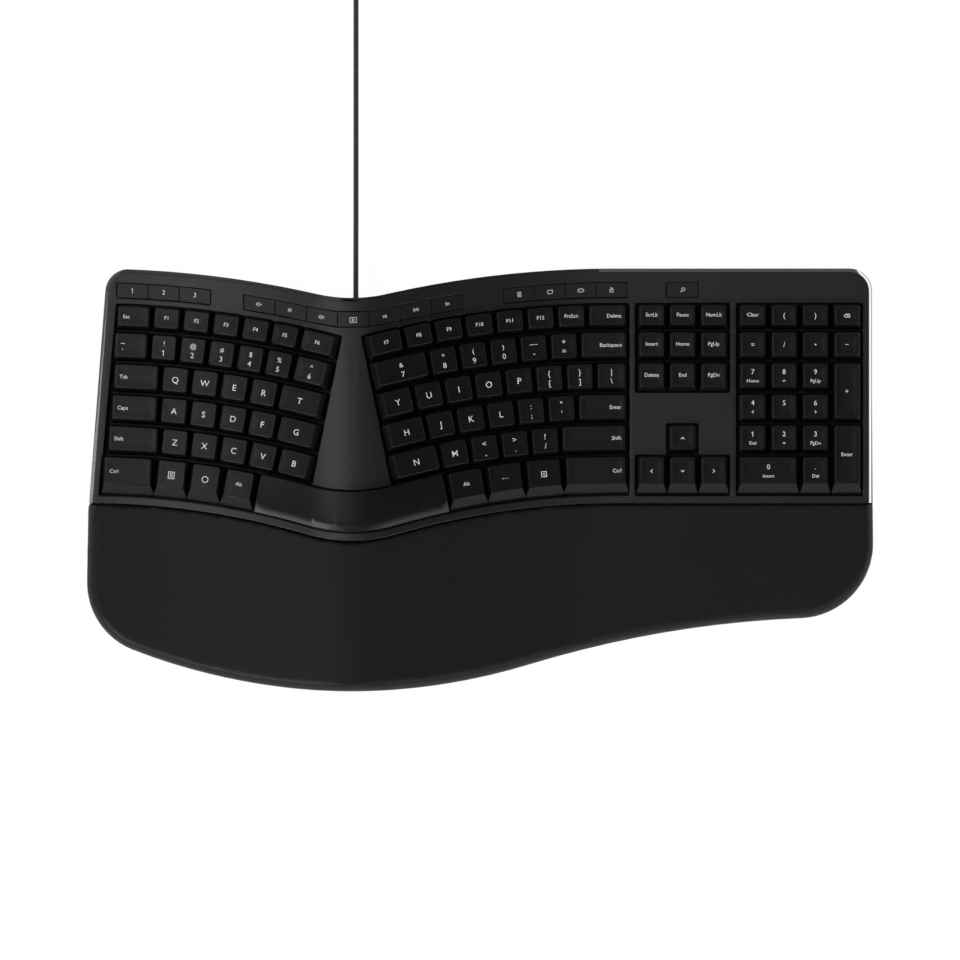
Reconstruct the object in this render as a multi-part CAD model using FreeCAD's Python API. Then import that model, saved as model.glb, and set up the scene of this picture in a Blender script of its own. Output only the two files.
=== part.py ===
import FreeCAD, Part
import math
import os

from FreeCAD import Placement, Rotation, Vector

# Ergonomic split keyboard, millimetres, +X right, +Y rear, +Z up.
# The origin is on the desk under the middle of the keyboard's own box.
# Every row of keys is the same curve, shifted to the front by its distance:
# two big arcs that meet in a dip at the ridge, and a straight stretch on the right.
# Across the width the deck is a gull wing: a crest over the ridge and a hollow on each side.

# Row curve
RIDGE_X = -78.7
ARC_SIDE = 161.3
NUMBER_ROW_Y = 82.3
NUMBER_ROW_R = 575.3
ARC_Y = NUMBER_ROW_Y - NUMBER_ROW_R
DIP_R = 95.0

# Deck profile
DECK_SIDE_Z = 17.5
CREST_R = 130.0
HOLLOW_R = 600.0
WING_ANGLE = 12.0

# Straight blocks on the right
UNIT = 19.05
PAD_PITCH = 19.25
PAD_KEY_GAP = 0.9
NAV_X = RIDGE_X + ARC_SIDE + 22.8
PAD_X = NAV_X + 2 * UNIT + 24.0
FLAT_ARC_DROP = 0.2
BLOCK_BOTTOM_ROW = 79.6

# Outline
REAR_EDGE = -47.7
FRONT_BAND_END = 96.5
LEFT_REAR_X = -229.4
LEFT_FRONT_X = -240.4
LEFT_REAR_Y = 129.0
LEFT_FRONT_Y = -16.0
RIGHT_X = PAD_X + 3 * PAD_PITCH + 15.75
REAR_CORNER_R = 14.0
PALM_LEFT_X = LEFT_FRONT_X - 1.6
PALM_RIGHT_X = RIGHT_X + 1.0
FRONT_Y = -130.0
FRONT_R = 372.0
FRONT_HOLLOW_R = 663.0
LEFT_CORNER_R = 44.0
RIGHT_CORNER_R = 46.0
RIGHT_CORNER_Y = -39.2

# Housing
FOOT_HEIGHT = 1.2
FLOOR = 2.2
SHELL = 2.2
BAND_WIDTH = 2.0
BAND_DROP = 1.0
PART_GAP = 0.2
WELL_GAP = 0.8

# Key stack, depths below the deck surface
KEY_DROP = 2.5
KEY_RISE = 5.5
KEY_TRAVEL = 2.5
CAP_WALL = 1.2
MEMBRANE_TOP = 10.5
MEMBRANE = 0.5
PLATE = 1.0
STEM = 4.4
STEM_END_GAP = 0.1
PRESSED_GAP = 0.3
DOME_SEAT_GAP = 0.12
DOME_R = 3.0
DOME_TOP_R = 1.8
DOME_SIDES = 4

# Key rows: distance in front of the number row, depth
KEY_GAP = 0.7
ROW_PITCH = 19.1
FUNCTION_ROW = -17.9
FUNCTION_DEPTH = 15.8
KEY_DEPTH = 18.4
THUMB_ROW = 79.4
THUMB_DEPTH = 24.4
BEVEL_DEPTH = 5.8
BEVEL_DROP = 2.4
HOT_ROW = -34.5
HOT_DEPTH = 8.8
HOT_RISE = 0.35
HOT_DROP = 2.2
HOT_GAP = 0.35
HOT_TRAVEL = 0.6
HOT_PRESSED_GAP = 0.2
HOT_BOARD = 1.0
HOT_BOARD_TOP = HOT_DROP + HOT_TRAVEL + HOT_PRESSED_GAP

# Palm rest
PALM_SLOPE = 5.5
PALM_STEP = 0.4
PALM_BOTTOM = 3.8
PALM_PAD = 3.0
PALM_ROLL = 4.0
PALM_SIDE_STEP = 0.6
PALM_START_Y = -14.5

# Screws and posts
POST_R = 3.2
SCREW_R = 1.3
SCREW_HOLE_R = 1.5
SCREW_HEAD_R = 2.8
SCREW_SINK_R = 3.2
SCREW_SINK = 0.3
SCREW_HEAD = 1.8
SCREW_LENGTH = 9.0
BOSS_TOP = 6.0
PEG_SIDES = 6
BOSS_R = 4.4
POST_HOLE_R = 5.0
LAYER_GAP = 0.4
LAYER_REAR = -29.0

# Rubber feet
PAD_LENGTH = 24.0
PAD_R = 5.0
PAD_CORNER = 3.0

# Fold-out legs
LEG_WIDTH = 50.0
LEG_LENGTH = 21.0
LEG_THICK = 3.8
LEG_PIN_R = 1.0
LEG_BORE_GAP = 0.25
LEG_GAP = 0.5
POCKET_WALL = 1.4
POCKET_ROOF = 1.0
LEFT_LEG = (PALM_LEFT_X + 62.0, FRONT_Y + 42.0)
RIGHT_LEG = (PALM_RIGHT_X - 72.0, FRONT_Y + 68.0)
LEG_SINK = 0.2

# Cord
CORD_D = 3.2
CORD_X = RIDGE_X + 2.3
CORD_EXIT_Z = 9.0
GLAND_R = 3.0
CORD_SIDES = 5
COIL_START_Y = 320.0
COIL_RUN = 78.0
COIL_INNER_R = 12.2
COIL_PITCH = 3.7
COIL_BENDS = 4
TAIL_LENGTH = 24.0
TAIL_DROP = 22.0
TAIL_END = 14.0
PLUG_WIDTH = 15.5
PLUG_THICK = 7.5
PLUG_LENGTH = 26.0
PLUG_CORNER = 1.5
PLUG_NECK = 6.0
SHELL_WIDTH = 12.0
SHELL_THICK = 4.5
SHELL_LENGTH = 18.8
SHELL_WALL = 0.4

TALL = 60.0
WIDE = 300.0
UP = Vector(0, 0, 1)


def box(x0, x1, y0, y1, z0, z1):
    return Part.makeBox(x1 - x0, y1 - y0, z1 - z0, Vector(x0, y0, z0))


def cylinder(x, y, z0, z1, radius):
    return Part.makeCylinder(radius, z1 - z0, Vector(x, y, z0))


def arc(centre, radius, start, end):
    """Arc in the XY plane between two angles in degrees."""
    points = []
    for share in (0.0, 0.5, 1.0):
        angle = math.radians(start + (end - start) * share)
        points.append(Vector(centre[0] + radius * math.cos(angle), centre[1] + radius * math.sin(angle), 0))
    return Part.Arc(*points).toShape()


def angle_of(centre, point):
    return math.degrees(math.atan2(point[1] - centre[1], point[0] - centre[0]))


def line(a, b):
    return Part.makeLine(Vector(a[0], a[1], 0), Vector(b[0], b[1], 0))


def ngon(radius, sides):
    turns = [2 * math.pi * (n + 0.5) / sides for n in range(sides)]
    return [(radius * math.cos(turn), radius * math.sin(turn)) for turn in turns]


def peg(x, y, z0, z1, radius):
    """Upright prism with few sides, for the small round pieces and holes that repeat."""
    corners = [(x + across, y + along) for across, along in ngon(radius, PEG_SIDES)]
    return Part.Face(polygon(corners, z0)).extrude(Vector(0, 0, z1 - z0))


def prism(edges, z0, z1):
    """Upright solid on a closed outline."""
    face = Part.Face(Part.Wire(edges))
    face.translate(Vector(0, 0, z0))
    return face.extrude(Vector(0, 0, z1 - z0))


def polygon(points, z=0.0):
    corners = [Vector(x, y, z) for x, y in points]
    return Part.makePolygon(corners + corners[:1])


# Row curve


def dip(distance):
    """Centre of the dip's arc and its right-hand tangent point at a distance from the number row."""
    radius = NUMBER_ROW_R - distance
    centre_y = ARC_Y + math.sqrt((radius + DIP_R) ** 2 - ARC_SIDE**2)
    share = radius / (radius + DIP_R)
    tangent = (RIDGE_X + ARC_SIDE * (1 - share), ARC_Y + (centre_y - ARC_Y) * share)
    return (RIDGE_X, centre_y), tangent


def row_y(distance, x):
    """Height of the row curve in plan at x."""
    radius = NUMBER_ROW_R - distance
    centre, tangent = dip(distance)
    away = abs(x - RIDGE_X)
    if away < tangent[0] - RIDGE_X:
        return centre[1] - math.sqrt(DIP_R**2 - away**2)
    if x > RIDGE_X + ARC_SIDE:
        return ARC_Y + radius
    return ARC_Y + math.sqrt(radius**2 - (away - ARC_SIDE) ** 2)


def row_edges(distance, x0, x1):
    """The row curve from x0, left of the dip, to x1, right of it."""
    radius = NUMBER_ROW_R - distance
    centre, right = dip(distance)
    left = (2 * RIDGE_X - right[0], right[1])
    left_centre = (RIDGE_X - ARC_SIDE, ARC_Y)
    right_centre = (RIDGE_X + ARC_SIDE, ARC_Y)
    start = (x0, row_y(distance, x0))
    straight = x1 > right_centre[0]
    end = (right_centre[0], ARC_Y + radius) if straight else (x1, row_y(distance, x1))
    edges = [
        arc(left_centre, radius, angle_of(left_centre, start), angle_of(left_centre, left)),
        arc(centre, DIP_R, angle_of(centre, left), angle_of(centre, right)),
        arc(right_centre, radius, angle_of(right_centre, right), angle_of(right_centre, end)),
    ]
    if straight:
        edges.append(line(end, (x1, end[1])))
    return edges


def row_point(side, distance, along):
    """A point at an arc length along a row, and the row's heading there, in degrees."""
    radius = NUMBER_ROW_R - distance
    if side > 0 and along > 0:
        return RIDGE_X + ARC_SIDE + along, ARC_Y + radius, 0.0
    turn = along / radius
    x = RIDGE_X + side * ARC_SIDE + radius * math.sin(turn)
    return x, ARC_Y + radius * math.cos(turn), -math.degrees(turn)


def strip(rear, front, left, right, z0=0.0, z1=TALL):
    """Upright solid between two row curves, with its ends' x given at the rear and at the front."""
    rear_edges = row_edges(rear, left[0], right[0])
    front_edges = row_edges(front, left[1], right[1])
    places = ((rear, left[0]), (front, left[1]), (rear, right[0]), (front, right[1]))
    corners = [(x, row_y(distance, x)) for distance, x in places]
    ends = [line(corners[0], corners[1]), line(corners[2], corners[3])]
    return prism(Part.__sortEdges__(rear_edges + front_edges + ends), z0, z1)


# Gull-wing deck


WING_HALF = (CREST_R + HOLLOW_R) * math.sin(math.radians(WING_ANGLE))
CREST_Z = DECK_SIDE_Z + (CREST_R + HOLLOW_R) * (1 - math.cos(math.radians(WING_ANGLE)))


def deck_z(x):
    away = abs(x - RIDGE_X)
    if away < CREST_R * math.sin(math.radians(WING_ANGLE)):
        return CREST_Z - CREST_R + math.sqrt(CREST_R**2 - away**2)
    if away < WING_HALF:
        return DECK_SIDE_Z + HOLLOW_R - math.sqrt(HOLLOW_R**2 - (WING_HALF - away) ** 2)
    return DECK_SIDE_Z


def deck_tilt(x):
    """Lean of the deck's normal to the right, in degrees."""
    away = abs(x - RIDGE_X)
    side = math.copysign(1, x - RIDGE_X)
    if away < CREST_R * math.sin(math.radians(WING_ANGLE)):
        return side * math.degrees(math.asin(away / CREST_R))
    if away < WING_HALF:
        return side * math.degrees(math.asin((WING_HALF - away) / HOLLOW_R))
    return 0.0


def wing_edges(offset):
    """The deck's section moved out along its normal, as edges in XZ from left to right."""
    crest = (RIDGE_X, CREST_Z - CREST_R)
    left = (RIDGE_X - WING_HALF, DECK_SIDE_Z + HOLLOW_R)
    right = (RIDGE_X + WING_HALF, DECK_SIDE_Z + HOLLOW_R)
    level = DECK_SIDE_Z + offset
    edges = [
        line((-WIDE, level), (left[0], level)),
        arc(left, HOLLOW_R - offset, -90, -90 + WING_ANGLE),
        arc(crest, CREST_R + offset, 90 + WING_ANGLE, 90 - WING_ANGLE),
        arc(right, HOLLOW_R - offset, -90 - WING_ANGLE, -90),
        line((right[0], level), (WIDE, level)),
    ]
    return edges


def wing_slab(top, bottom=None, slope=0.0, y_from=WIDE, y_to=-WIDE):
    """Solid between two offsets of the deck, or from one down, falling to the front by a slope."""
    edges = wing_edges(top)
    if bottom is None:
        low = -TALL
        edges += [
            line((WIDE, DECK_SIDE_Z + top), (WIDE, low)),
            line((WIDE, low), (-WIDE, low)),
            line((-WIDE, low), (-WIDE, DECK_SIDE_Z + top)),
        ]
    else:
        edges += wing_edges(bottom)
        for x in (-WIDE, WIDE):
            edges.append(line((x, DECK_SIDE_Z + top), (x, DECK_SIDE_Z + bottom)))
    face = Part.Face(Part.Wire(Part.__sortEdges__(edges)))
    face.rotate(Vector(), Vector(1, 0, 0), 90)
    face.translate(Vector(0, y_from, 0))
    run = y_to - y_from
    return face.extrude(Vector(0, run, run * math.tan(math.radians(slope))))


# Outlines


def left_side_x(y):
    share = (LEFT_REAR_Y - y) / (LEFT_REAR_Y - LEFT_FRONT_Y)
    return LEFT_REAR_X + (LEFT_FRONT_X - LEFT_REAR_X) * share


def left_end_x(distance, inset):
    """Where the left side, moved inwards, meets a row curve."""
    x = LEFT_REAR_X
    for _ in range(8):
        x = left_side_x(row_y(distance, x)) + inset
    return x


def rear_corners(inset):
    distance = REAR_EDGE + inset
    left_x = left_end_x(distance, inset)
    right_x = RIGHT_X - inset
    return (left_x, row_y(distance, left_x)), (right_x, row_y(distance, right_x))


def round_rear_corners(shape, inset):
    """Fillets the two upright edges at the rear corners."""
    corners = rear_corners(inset)
    edges = [
        edge
        for edge in shape.Edges
        for corner in corners
        if all(math.hypot(v.X - corner[0], v.Y - corner[1]) < 0.01 for v in edge.Vertexes)
        and edge.BoundBox.ZLength > 0.1
    ]
    return shape.makeFillet(REAR_CORNER_R - inset, edges)


def case_block(inset, z0, z1, front_inset=None):
    """Upright solid on the outline of the deck part, moved inwards by an inset."""
    left, right = rear_corners(inset)
    front = FRONT_BAND_END - (inset if front_inset is None else front_inset)
    front_left_x = left_end_x(front, inset)
    block = strip(REAR_EDGE + inset, front, (left[0], front_left_x), (right[0], right[0]), z0, z1)
    return round_rear_corners(block, inset)


def palm_front(inset):
    """The palm rest's corners and front, from its left side to its right side."""
    front = (RIDGE_X, FRONT_Y + FRONT_R)
    left_x = PALM_LEFT_X + LEFT_CORNER_R
    left = (left_x, front[1] - math.sqrt((FRONT_R - LEFT_CORNER_R) ** 2 - (left_x - RIDGE_X) ** 2))
    right = (PALM_RIGHT_X - RIGHT_CORNER_R, RIGHT_CORNER_Y)
    hollow = crossing(front, FRONT_R + FRONT_HOLLOW_R, right, RIGHT_CORNER_R + FRONT_HOLLOW_R)
    return [
        arc(left, LEFT_CORNER_R - inset, 180, 360 + angle_of(front, left)),
        arc(front, FRONT_R - inset, angle_of(front, left), angle_of(front, hollow)),
        arc(hollow, FRONT_HOLLOW_R + inset, angle_of(hollow, front), angle_of(hollow, right)),
        arc(right, RIGHT_CORNER_R - inset, angle_of(right, hollow), 0),
    ]


def crossing(a, ra, b, rb):
    """The point in front of two centres at given distances from them."""
    dx, dy = b[0] - a[0], b[1] - a[1]
    apart = math.hypot(dx, dy)
    along = (ra**2 - rb**2 + apart**2) / (2 * apart)
    off = math.sqrt(ra**2 - along**2)
    return a[0] + (along * dx + off * dy) / apart, a[1] + (along * dy - off * dx) / apart


def palm_block(inset, z0, z1):
    """Upright solid on the outline of the palm rest, moved inwards by an inset."""
    rear = FRONT_BAND_END + PALM_STEP + inset
    left_x = LEFT_FRONT_X - PALM_SIDE_STEP + inset
    right_x = RIGHT_X + PALM_SIDE_STEP - inset
    front = palm_front(inset)
    start, end = front[0].Vertexes[0].Point, front[-1].Vertexes[-1].Point
    sides = [
        line((left_x, row_y(rear, left_x)), start),
        line((right_x, row_y(rear, right_x)), end),
    ]
    return prism(Part.__sortEdges__(row_edges(rear, left_x, right_x) + sides + front), z0, z1)


def floor_block(z0, z1):
    """Upright solid on the whole keyboard's outline."""
    left, right = rear_corners(0.0)
    front = palm_front(0.0)
    start, end = front[0].Vertexes[0].Point, front[-1].Vertexes[-1].Point
    step = (LEFT_FRONT_X, LEFT_FRONT_Y)
    sides = [line(left, step), line(step, start), line(right, end)]
    edges = row_edges(REAR_EDGE, left[0], right[0]) + sides + front
    return round_rear_corners(prism(Part.__sortEdges__(edges), z0, z1), 0.0)


# Keys: per half, the arc length where each row starts and the widths of its keys

ALPHA = 18.45
NUMBER = 18.0
RIGHT_ALPHA = 18.8

LEFT_ROWS = [
    (FUNCTION_ROW, FUNCTION_DEPTH, 16.4, [22.4] + [18.5] * 5 + [23.2]),
    (0.0, KEY_DEPTH, 14.7, [22.6] + [NUMBER] * 5 + [22.8]),
    (ROW_PITCH, KEY_DEPTH, 14.3, [29.8] + [ALPHA] * 4 + [28.4]),
    (2 * ROW_PITCH, KEY_DEPTH, 12.9, [30.4] + [ALPHA] * 4 + [25.8]),
    (3 * ROW_PITCH, KEY_DEPTH, 10.9, [32.9] + [ALPHA] * 4 + [22.0]),
    (THUMB_ROW, THUMB_DEPTH, 7.6, [32.6] + [21.0] * 3),
]
RIGHT_ROWS = [
    (FUNCTION_ROW, FUNCTION_DEPTH, -154.1, [23.0] + [19.0] * 6 + [25.4]),
    (0.0, KEY_DEPTH, -150.5, [35.1] + [18.7] * 5 + [30.5]),
    (ROW_PITCH, KEY_DEPTH, -146.4, [21.6] + [RIGHT_ALPHA] * 6 + [20.4]),
    (2 * ROW_PITCH, KEY_DEPTH, -143.1, [25.8] + [RIGHT_ALPHA] * 5 + [31.6]),
    (3 * ROW_PITCH, KEY_DEPTH, -139.5, [30.8] + [RIGHT_ALPHA] * 4 + [41.6]),
    (THUMB_ROW, THUMB_DEPTH, -103.5, [24.0] * 3 + [40.4]),
]
SPACE_HALF = 103.9

# The node of each key, in the order of the rows above
LEFT_NODES = [
    ["key_escape"] + ["keys_left_%d" % n for n in (1, 2, 3, 4, 5, 6)],
    ["key_backquote"] + ["keys_left_%d" % n for n in (1, 2, 3, 4, 5, 6)],
    ["key_tab"] + ["keys_left_%d" % n for n in (1, 2, 3, 4, 5)],
    ["key_caps_lock"] + ["keys_left_%d" % n for n in (1, 2, 3, 4, 5)],
    ["key_shift_left"] + ["keys_left_%d" % n for n in (1, 2, 3, 4, 5)],
    ["key_ctrl_left"] + ["keys_left_%d" % n for n in (1, 2, 3)],
]
RIGHT_NODES = [
    ["keys_right_%d" % n for n in (1, 2, 3, 4, 5, 6, 7)] + ["key_delete"],
    ["keys_right_%d" % n for n in (1, 2, 3, 4, 5, 6)] + ["key_backspace"],
    ["keys_right_%d" % n for n in (1, 2, 3, 4, 5, 6, 7)] + ["key_backslash"],
    ["keys_right_%d" % n for n in (1, 2, 3, 4, 5, 6)] + ["key_enter"],
    ["keys_right_%d" % n for n in (1, 2, 3, 4, 5)] + ["key_shift_right"],
    ["keys_right_%d" % n for n in (3, 4, 5)] + ["key_ctrl_right"],
]

SIDE_TAPER = 1.4
FRONT_TAPER = 2.6
REAR_TAPER = 0.6
LARGE_FRONT_TAPER = 1.0


STEM_REACH = MEMBRANE_TOP - KEY_TRAVEL - PRESSED_GAP


def octagon(x0, x1, y0, y1, corner):
    return [
        (x0 + corner, y0),
        (x1 - corner, y0),
        (x1, y0 + corner),
        (x1, y1 - corner),
        (x1 - corner, y1),
        (x0 + corner, y1),
        (x0, y1 - corner),
        (x0, y0 + corner),
    ]


def rectangle(x0, x1, y0, y1):
    return [(x0, y0), (x1, y0), (x1, y1), (x0, y1)]


def frustum(low, low_z, high, high_z):
    """Solid with flat sides between two outlines whose sides are parallel in pairs."""
    bottom = [Vector(x, y, low_z) for x, y in low]
    top = [Vector(x, y, high_z) for x, y in high]
    rings = [bottom, top] + [[bottom[n - 1], bottom[n], top[n], top[n - 1]] for n in range(len(low))]
    faces = []
    for ring in rings:
        corners = [point for n, point in enumerate(ring) if point != ring[n - 1]]
        if len(corners) > 2:
            faces.append(Part.Face(Part.makePolygon(corners + corners[:1])))
    return Part.Solid(Part.makeShell(faces))


def stem_box(extra=0.0, bottom=-STEM_REACH, top=KEY_RISE - CAP_WALL):
    half = STEM / 2 + extra
    return box(-half, half, -half, half, bottom, top)


def keycap(width, depth, bevelled):
    """A hollow cap with its stem, in the key's own axes: z = 0 is the deck surface under its middle."""
    w, d = width / 2, depth / 2
    front = LARGE_FRONT_TAPER if bevelled else FRONT_TAPER
    top_y0, top_y1 = -d + front, d - REAR_TAPER
    top_x = w - SIDE_TAPER
    top = rectangle(-top_x, top_x, top_y0, top_y1)
    outer = frustum(rectangle(-w, w, -d, d), -KEY_DROP, top, KEY_RISE)
    t = CAP_WALL
    inner_front = top_y0 + t + (BEVEL_DEPTH if bevelled else 0)
    inner = frustum(
        rectangle(-w + t, w - t, -d + t, d - t),
        -KEY_DROP,
        rectangle(-top_x + t, top_x - t, inner_front, top_y1 - t),
        KEY_RISE - t,
    )
    if bevelled:
        outer = outer.cut(bevel_wedge(width, top_y0))
    return outer.cut(inner).fuse(stem_box()).removeSplitter()


def bevel_wedge(width, front_y):
    """What is cut off a large key's top so that it falls to the front."""
    section = [
        Vector(-width, front_y + BEVEL_DEPTH, KEY_RISE),
        Vector(-width, front_y - 2, KEY_RISE - BEVEL_DROP * (BEVEL_DEPTH + 2) / BEVEL_DEPTH),
        Vector(-width, front_y - 2, KEY_RISE + 2),
        Vector(-width, front_y + BEVEL_DEPTH, KEY_RISE + 2),
    ]
    return Part.Face(Part.makePolygon(section + section[:1])).extrude(Vector(2 * width, 0, 0))


def key_layout():
    """Every raised key but the space bar, as (node, x, y, heading, width, depth, bevelled)."""
    keys = []
    for side, rows, names in ((-1, LEFT_ROWS, LEFT_NODES), (1, RIGHT_ROWS, RIGHT_NODES)):
        for (distance, depth, along, widths), nodes in zip(rows, names):
            for width, node in zip(widths, nodes):
                x, y, heading = row_point(side, distance, along + width / 2)
                keys.append((node, x, y, heading, width - KEY_GAP, depth - KEY_GAP, depth == THUMB_DEPTH))
                along += width
    return keys + block_layout()


def block_y(distance):
    return ARC_Y + NUMBER_ROW_R + FLAT_ARC_DROP - distance


def block_layout():
    """The navigation keys, the arrows and the number pad, which stand in straight columns."""
    small = UNIT - KEY_GAP
    pad_small = PAD_PITCH - PAD_KEY_GAP
    tall = KEY_DEPTH - KEY_GAP
    rows = [FUNCTION_ROW, 0.0, ROW_PITCH, 2 * ROW_PITCH, 3 * ROW_PITCH, BLOCK_BOTTOM_ROW]
    depths = [FUNCTION_DEPTH - KEY_GAP, tall, tall, tall, tall, THUMB_DEPTH - KEY_GAP]
    nav = [NAV_X + n * UNIT for n in range(3)]
    pad = [PAD_X + n * PAD_PITCH for n in range(4)]
    keys = []
    for row in range(3):
        for x in nav:
            keys.append(("keys_navigation", x, block_y(rows[row]), 0.0, small, depths[row], False))
    keys.append(("keys_arrow", nav[1], block_y(rows[4]), 0.0, small, depths[4], False))
    for x in nav:
        keys.append(("keys_arrow", x, block_y(rows[5]), 0.0, small, depths[5], True))
    for row in range(2):
        for x in pad:
            keys.append(("keys_pad_top", x, block_y(rows[row]), 0.0, pad_small, depths[row], False))
    for row in (2, 3, 4):
        for x in pad[:3]:
            keys.append(("keys_pad_digits", x, block_y(rows[row]), 0.0, pad_small, depths[row], False))
    keys.append(("keys_pad_digits", pad[2], block_y(rows[5]), 0.0, pad_small, depths[5], True))
    zero_x = (pad[0] + pad[1]) / 2
    keys.append(("key_pad_zero", zero_x, block_y(rows[5]), 0.0, pad_small + PAD_PITCH, depths[5], True))
    plus_y = block_y((rows[2] + rows[3]) / 2)
    keys.append(("key_pad_plus", pad[3], plus_y, 0.0, pad_small, tall + ROW_PITCH, False))
    enter_front = block_y(rows[5]) - depths[5] / 2
    enter_rear = block_y(rows[4]) + depths[4] / 2
    enter_y = (enter_front + enter_rear) / 2
    enter = ("key_pad_enter", pad[3], enter_y, 0.0, pad_small, enter_rear - enter_front, True)
    return keys + [enter]


KEYS = key_layout()


def node_tilt(node):
    """Keys of one node share one lean, so that they press along one line."""
    places = [key[1] for key in KEYS if key[0] == node]
    return deck_tilt(sum(places) / len(places))


TILTS = {key[0]: node_tilt(key[0]) for key in KEYS}


def seat(shape, key):
    """Moves a shape from a key's own axes to its place on the deck."""
    node, x, y, heading = key[:4]
    turn = Rotation(Vector(0, 1, 0), TILTS[node]).multiply(Rotation(UP, heading))
    placed = shape.copy()
    placed.Placement = Placement(Vector(x, y, deck_z(x)), turn)
    return placed


def cap_of(key):
    node, width, depth, bevelled = key[0], key[4], key[5], key[6]
    lean = math.cos(math.radians(TILTS[node]))
    return seat(keycap(width / lean, depth, bevelled), key)


# Space bar: it follows the crest and the dip, and presses straight down

SPACE_STEMS = (-45.0, 0.0, 45.0)
SPACE_GAP = 0.35
SPACE_ROOF = 2.2


def space_half(distance, inset):
    """Half the space bar's length in plan at a distance from the number row."""
    turn = SPACE_HALF / (NUMBER_ROW_R - THUMB_ROW)
    return ARC_SIDE - (NUMBER_ROW_R - distance) * math.sin(turn) - inset


def space_plan(inset, rear, front):
    """Upright solid on the space bar's outline."""
    ends = [space_half(distance, inset) for distance in (rear, front)]
    return strip(rear, front, [RIDGE_X - end for end in ends], [RIDGE_X + end for end in ends])


def build_space_bar():
    rear = THUMB_ROW - THUMB_DEPTH / 2 + SPACE_GAP
    front = THUMB_ROW + THUMB_DEPTH / 2 - SPACE_GAP
    bar = space_plan(SPACE_GAP, rear, front).common(wing_slab(KEY_RISE, -KEY_DROP))
    inner = space_plan(SPACE_GAP + CAP_WALL, rear + CAP_WALL, front - CAP_WALL)
    bar = bar.cut(inner.common(wing_slab(KEY_RISE - SPACE_ROOF, -TALL / 4)))
    for x, y in space_stems():
        stem = stem_box(top=KEY_RISE - SPACE_ROOF)
        stem.translate(Vector(x, y, deck_z(x)))
        bar = bar.fuse(stem)
    bar = bar.removeSplitter()
    return bar.makeChamfer(BEVEL_DROP, BEVEL_DEPTH, top_front_edges(bar, front))


def top_front_edges(bar, front):
    edges = []
    for edge in bar.Edges:
        middle = edge.valueAt((edge.FirstParameter + edge.LastParameter) / 2)
        on_top = middle.z > deck_z(middle.x) + KEY_RISE - 0.5
        if on_top and abs(middle.y - row_y(front, middle.x)) < 0.2 and edge.Length > 1:
            edges.append(edge)
    return edges


def space_stems():
    places = [RIDGE_X + offset for offset in SPACE_STEMS]
    return [(x, row_y(THUMB_ROW, x)) for x in places]


# Wells in the deck

INNER_START = 151.5
INNER_LEAN = 0.198
OUTER_START = 14.8
OUTER_LEAN = 0.089
THUMB_STEP = 0.5
RIGHT_END = 8.7
WELL_REAR = FUNCTION_ROW - FUNCTION_DEPTH / 2
THUMB_REAR = THUMB_ROW - THUMB_DEPTH / 2
THUMB_FRONT = THUMB_ROW + THUMB_DEPTH / 2
WELL_MARGIN = WELL_GAP - KEY_GAP / 2


def side_edges(side, distance, start, end):
    """A stretch of one half's row curve between two arc lengths."""
    radius = NUMBER_ROW_R - distance
    centre = (RIDGE_X + side * ARC_SIDE, ARC_Y)
    turn_end = min(end, 0.0) if side > 0 else end
    edges = [arc(centre, radius, 90 - math.degrees(start / radius), 90 - math.degrees(turn_end / radius))]
    if end > turn_end:
        edges.append(line((centre[0], ARC_Y + radius), (centre[0] + end, ARC_Y + radius)))
    return edges


def half_well(side, margin):
    """One half's well, from the function row to the thumb row."""
    rear, front = WELL_REAR - margin, THUMB_REAR + 1.0
    ends = []
    for distance in (rear, front):
        inner = INNER_START - INNER_LEAN * distance + margin
        if side < 0:
            ends.append((OUTER_START - OUTER_LEAN * distance - margin, inner))
        else:
            ends.append((-inner, RIGHT_END + margin))
    corners = [[row_point(side, d, along)[:2] for along in pair] for d, pair in zip((rear, front), ends)]
    edges = side_edges(side, rear, *ends[0]) + side_edges(side, front, *ends[1])
    edges += [line(corners[0][n], corners[1][n]) for n in (0, 1)]
    return prism(Part.__sortEdges__(edges), 0, TALL)


def thumb_well(margin):
    left, right = [], []
    rear, front = THUMB_REAR - margin, THUMB_FRONT + margin
    for distance in (rear, front):
        left.append(row_point(-1, distance, OUTER_START - OUTER_LEAN * distance - margin - THUMB_STEP)[0])
        right.append(row_point(1, distance, RIGHT_END + margin)[0])
    return strip(rear, front, left, right)


def block_well(left, right, rear, rear_depth, front, front_depth, margin):
    y0 = block_y(front) - front_depth / 2 - margin
    y1 = block_y(rear) + rear_depth / 2 + margin
    return box(left - margin, right + margin, y0, y1, 0, TALL)


def wells(margin):
    nav = [NAV_X + (n - 0.5) * UNIT for n in range(4)]
    pad_half = (PAD_PITCH - PAD_KEY_GAP + KEY_GAP) / 2
    pad = (PAD_X - pad_half, PAD_X + 3 * PAD_PITCH + pad_half)
    up = (3 * ROW_PITCH, KEY_DEPTH)
    top = (FUNCTION_ROW, FUNCTION_DEPTH)
    bottom = (BLOCK_BOTTOM_ROW, THUMB_DEPTH)
    return [
        half_well(-1, margin),
        half_well(1, margin),
        thumb_well(margin),
        block_well(nav[0], nav[3], *top, ROW_PITCH, KEY_DEPTH, margin),
        block_well(nav[1], nav[2], *up, *bottom, margin),
        block_well(nav[0], nav[3], *bottom, *bottom, margin),
        block_well(*pad, *top, *bottom, margin),
    ]


# Flat keys on the rear strip: where each run starts and ends

HOT_PITCH = 19.2
HOT_GROUPS = {
    "hot_keys_left": [(-223.1, -165.5)],
    "hot_keys_media": [(-145.0, -10.39)],
    "hot_keys_right": [(14.7, 90.3), (114.8, 134.2)],
}
HOT_KEY_GAP = 0.5


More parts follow.
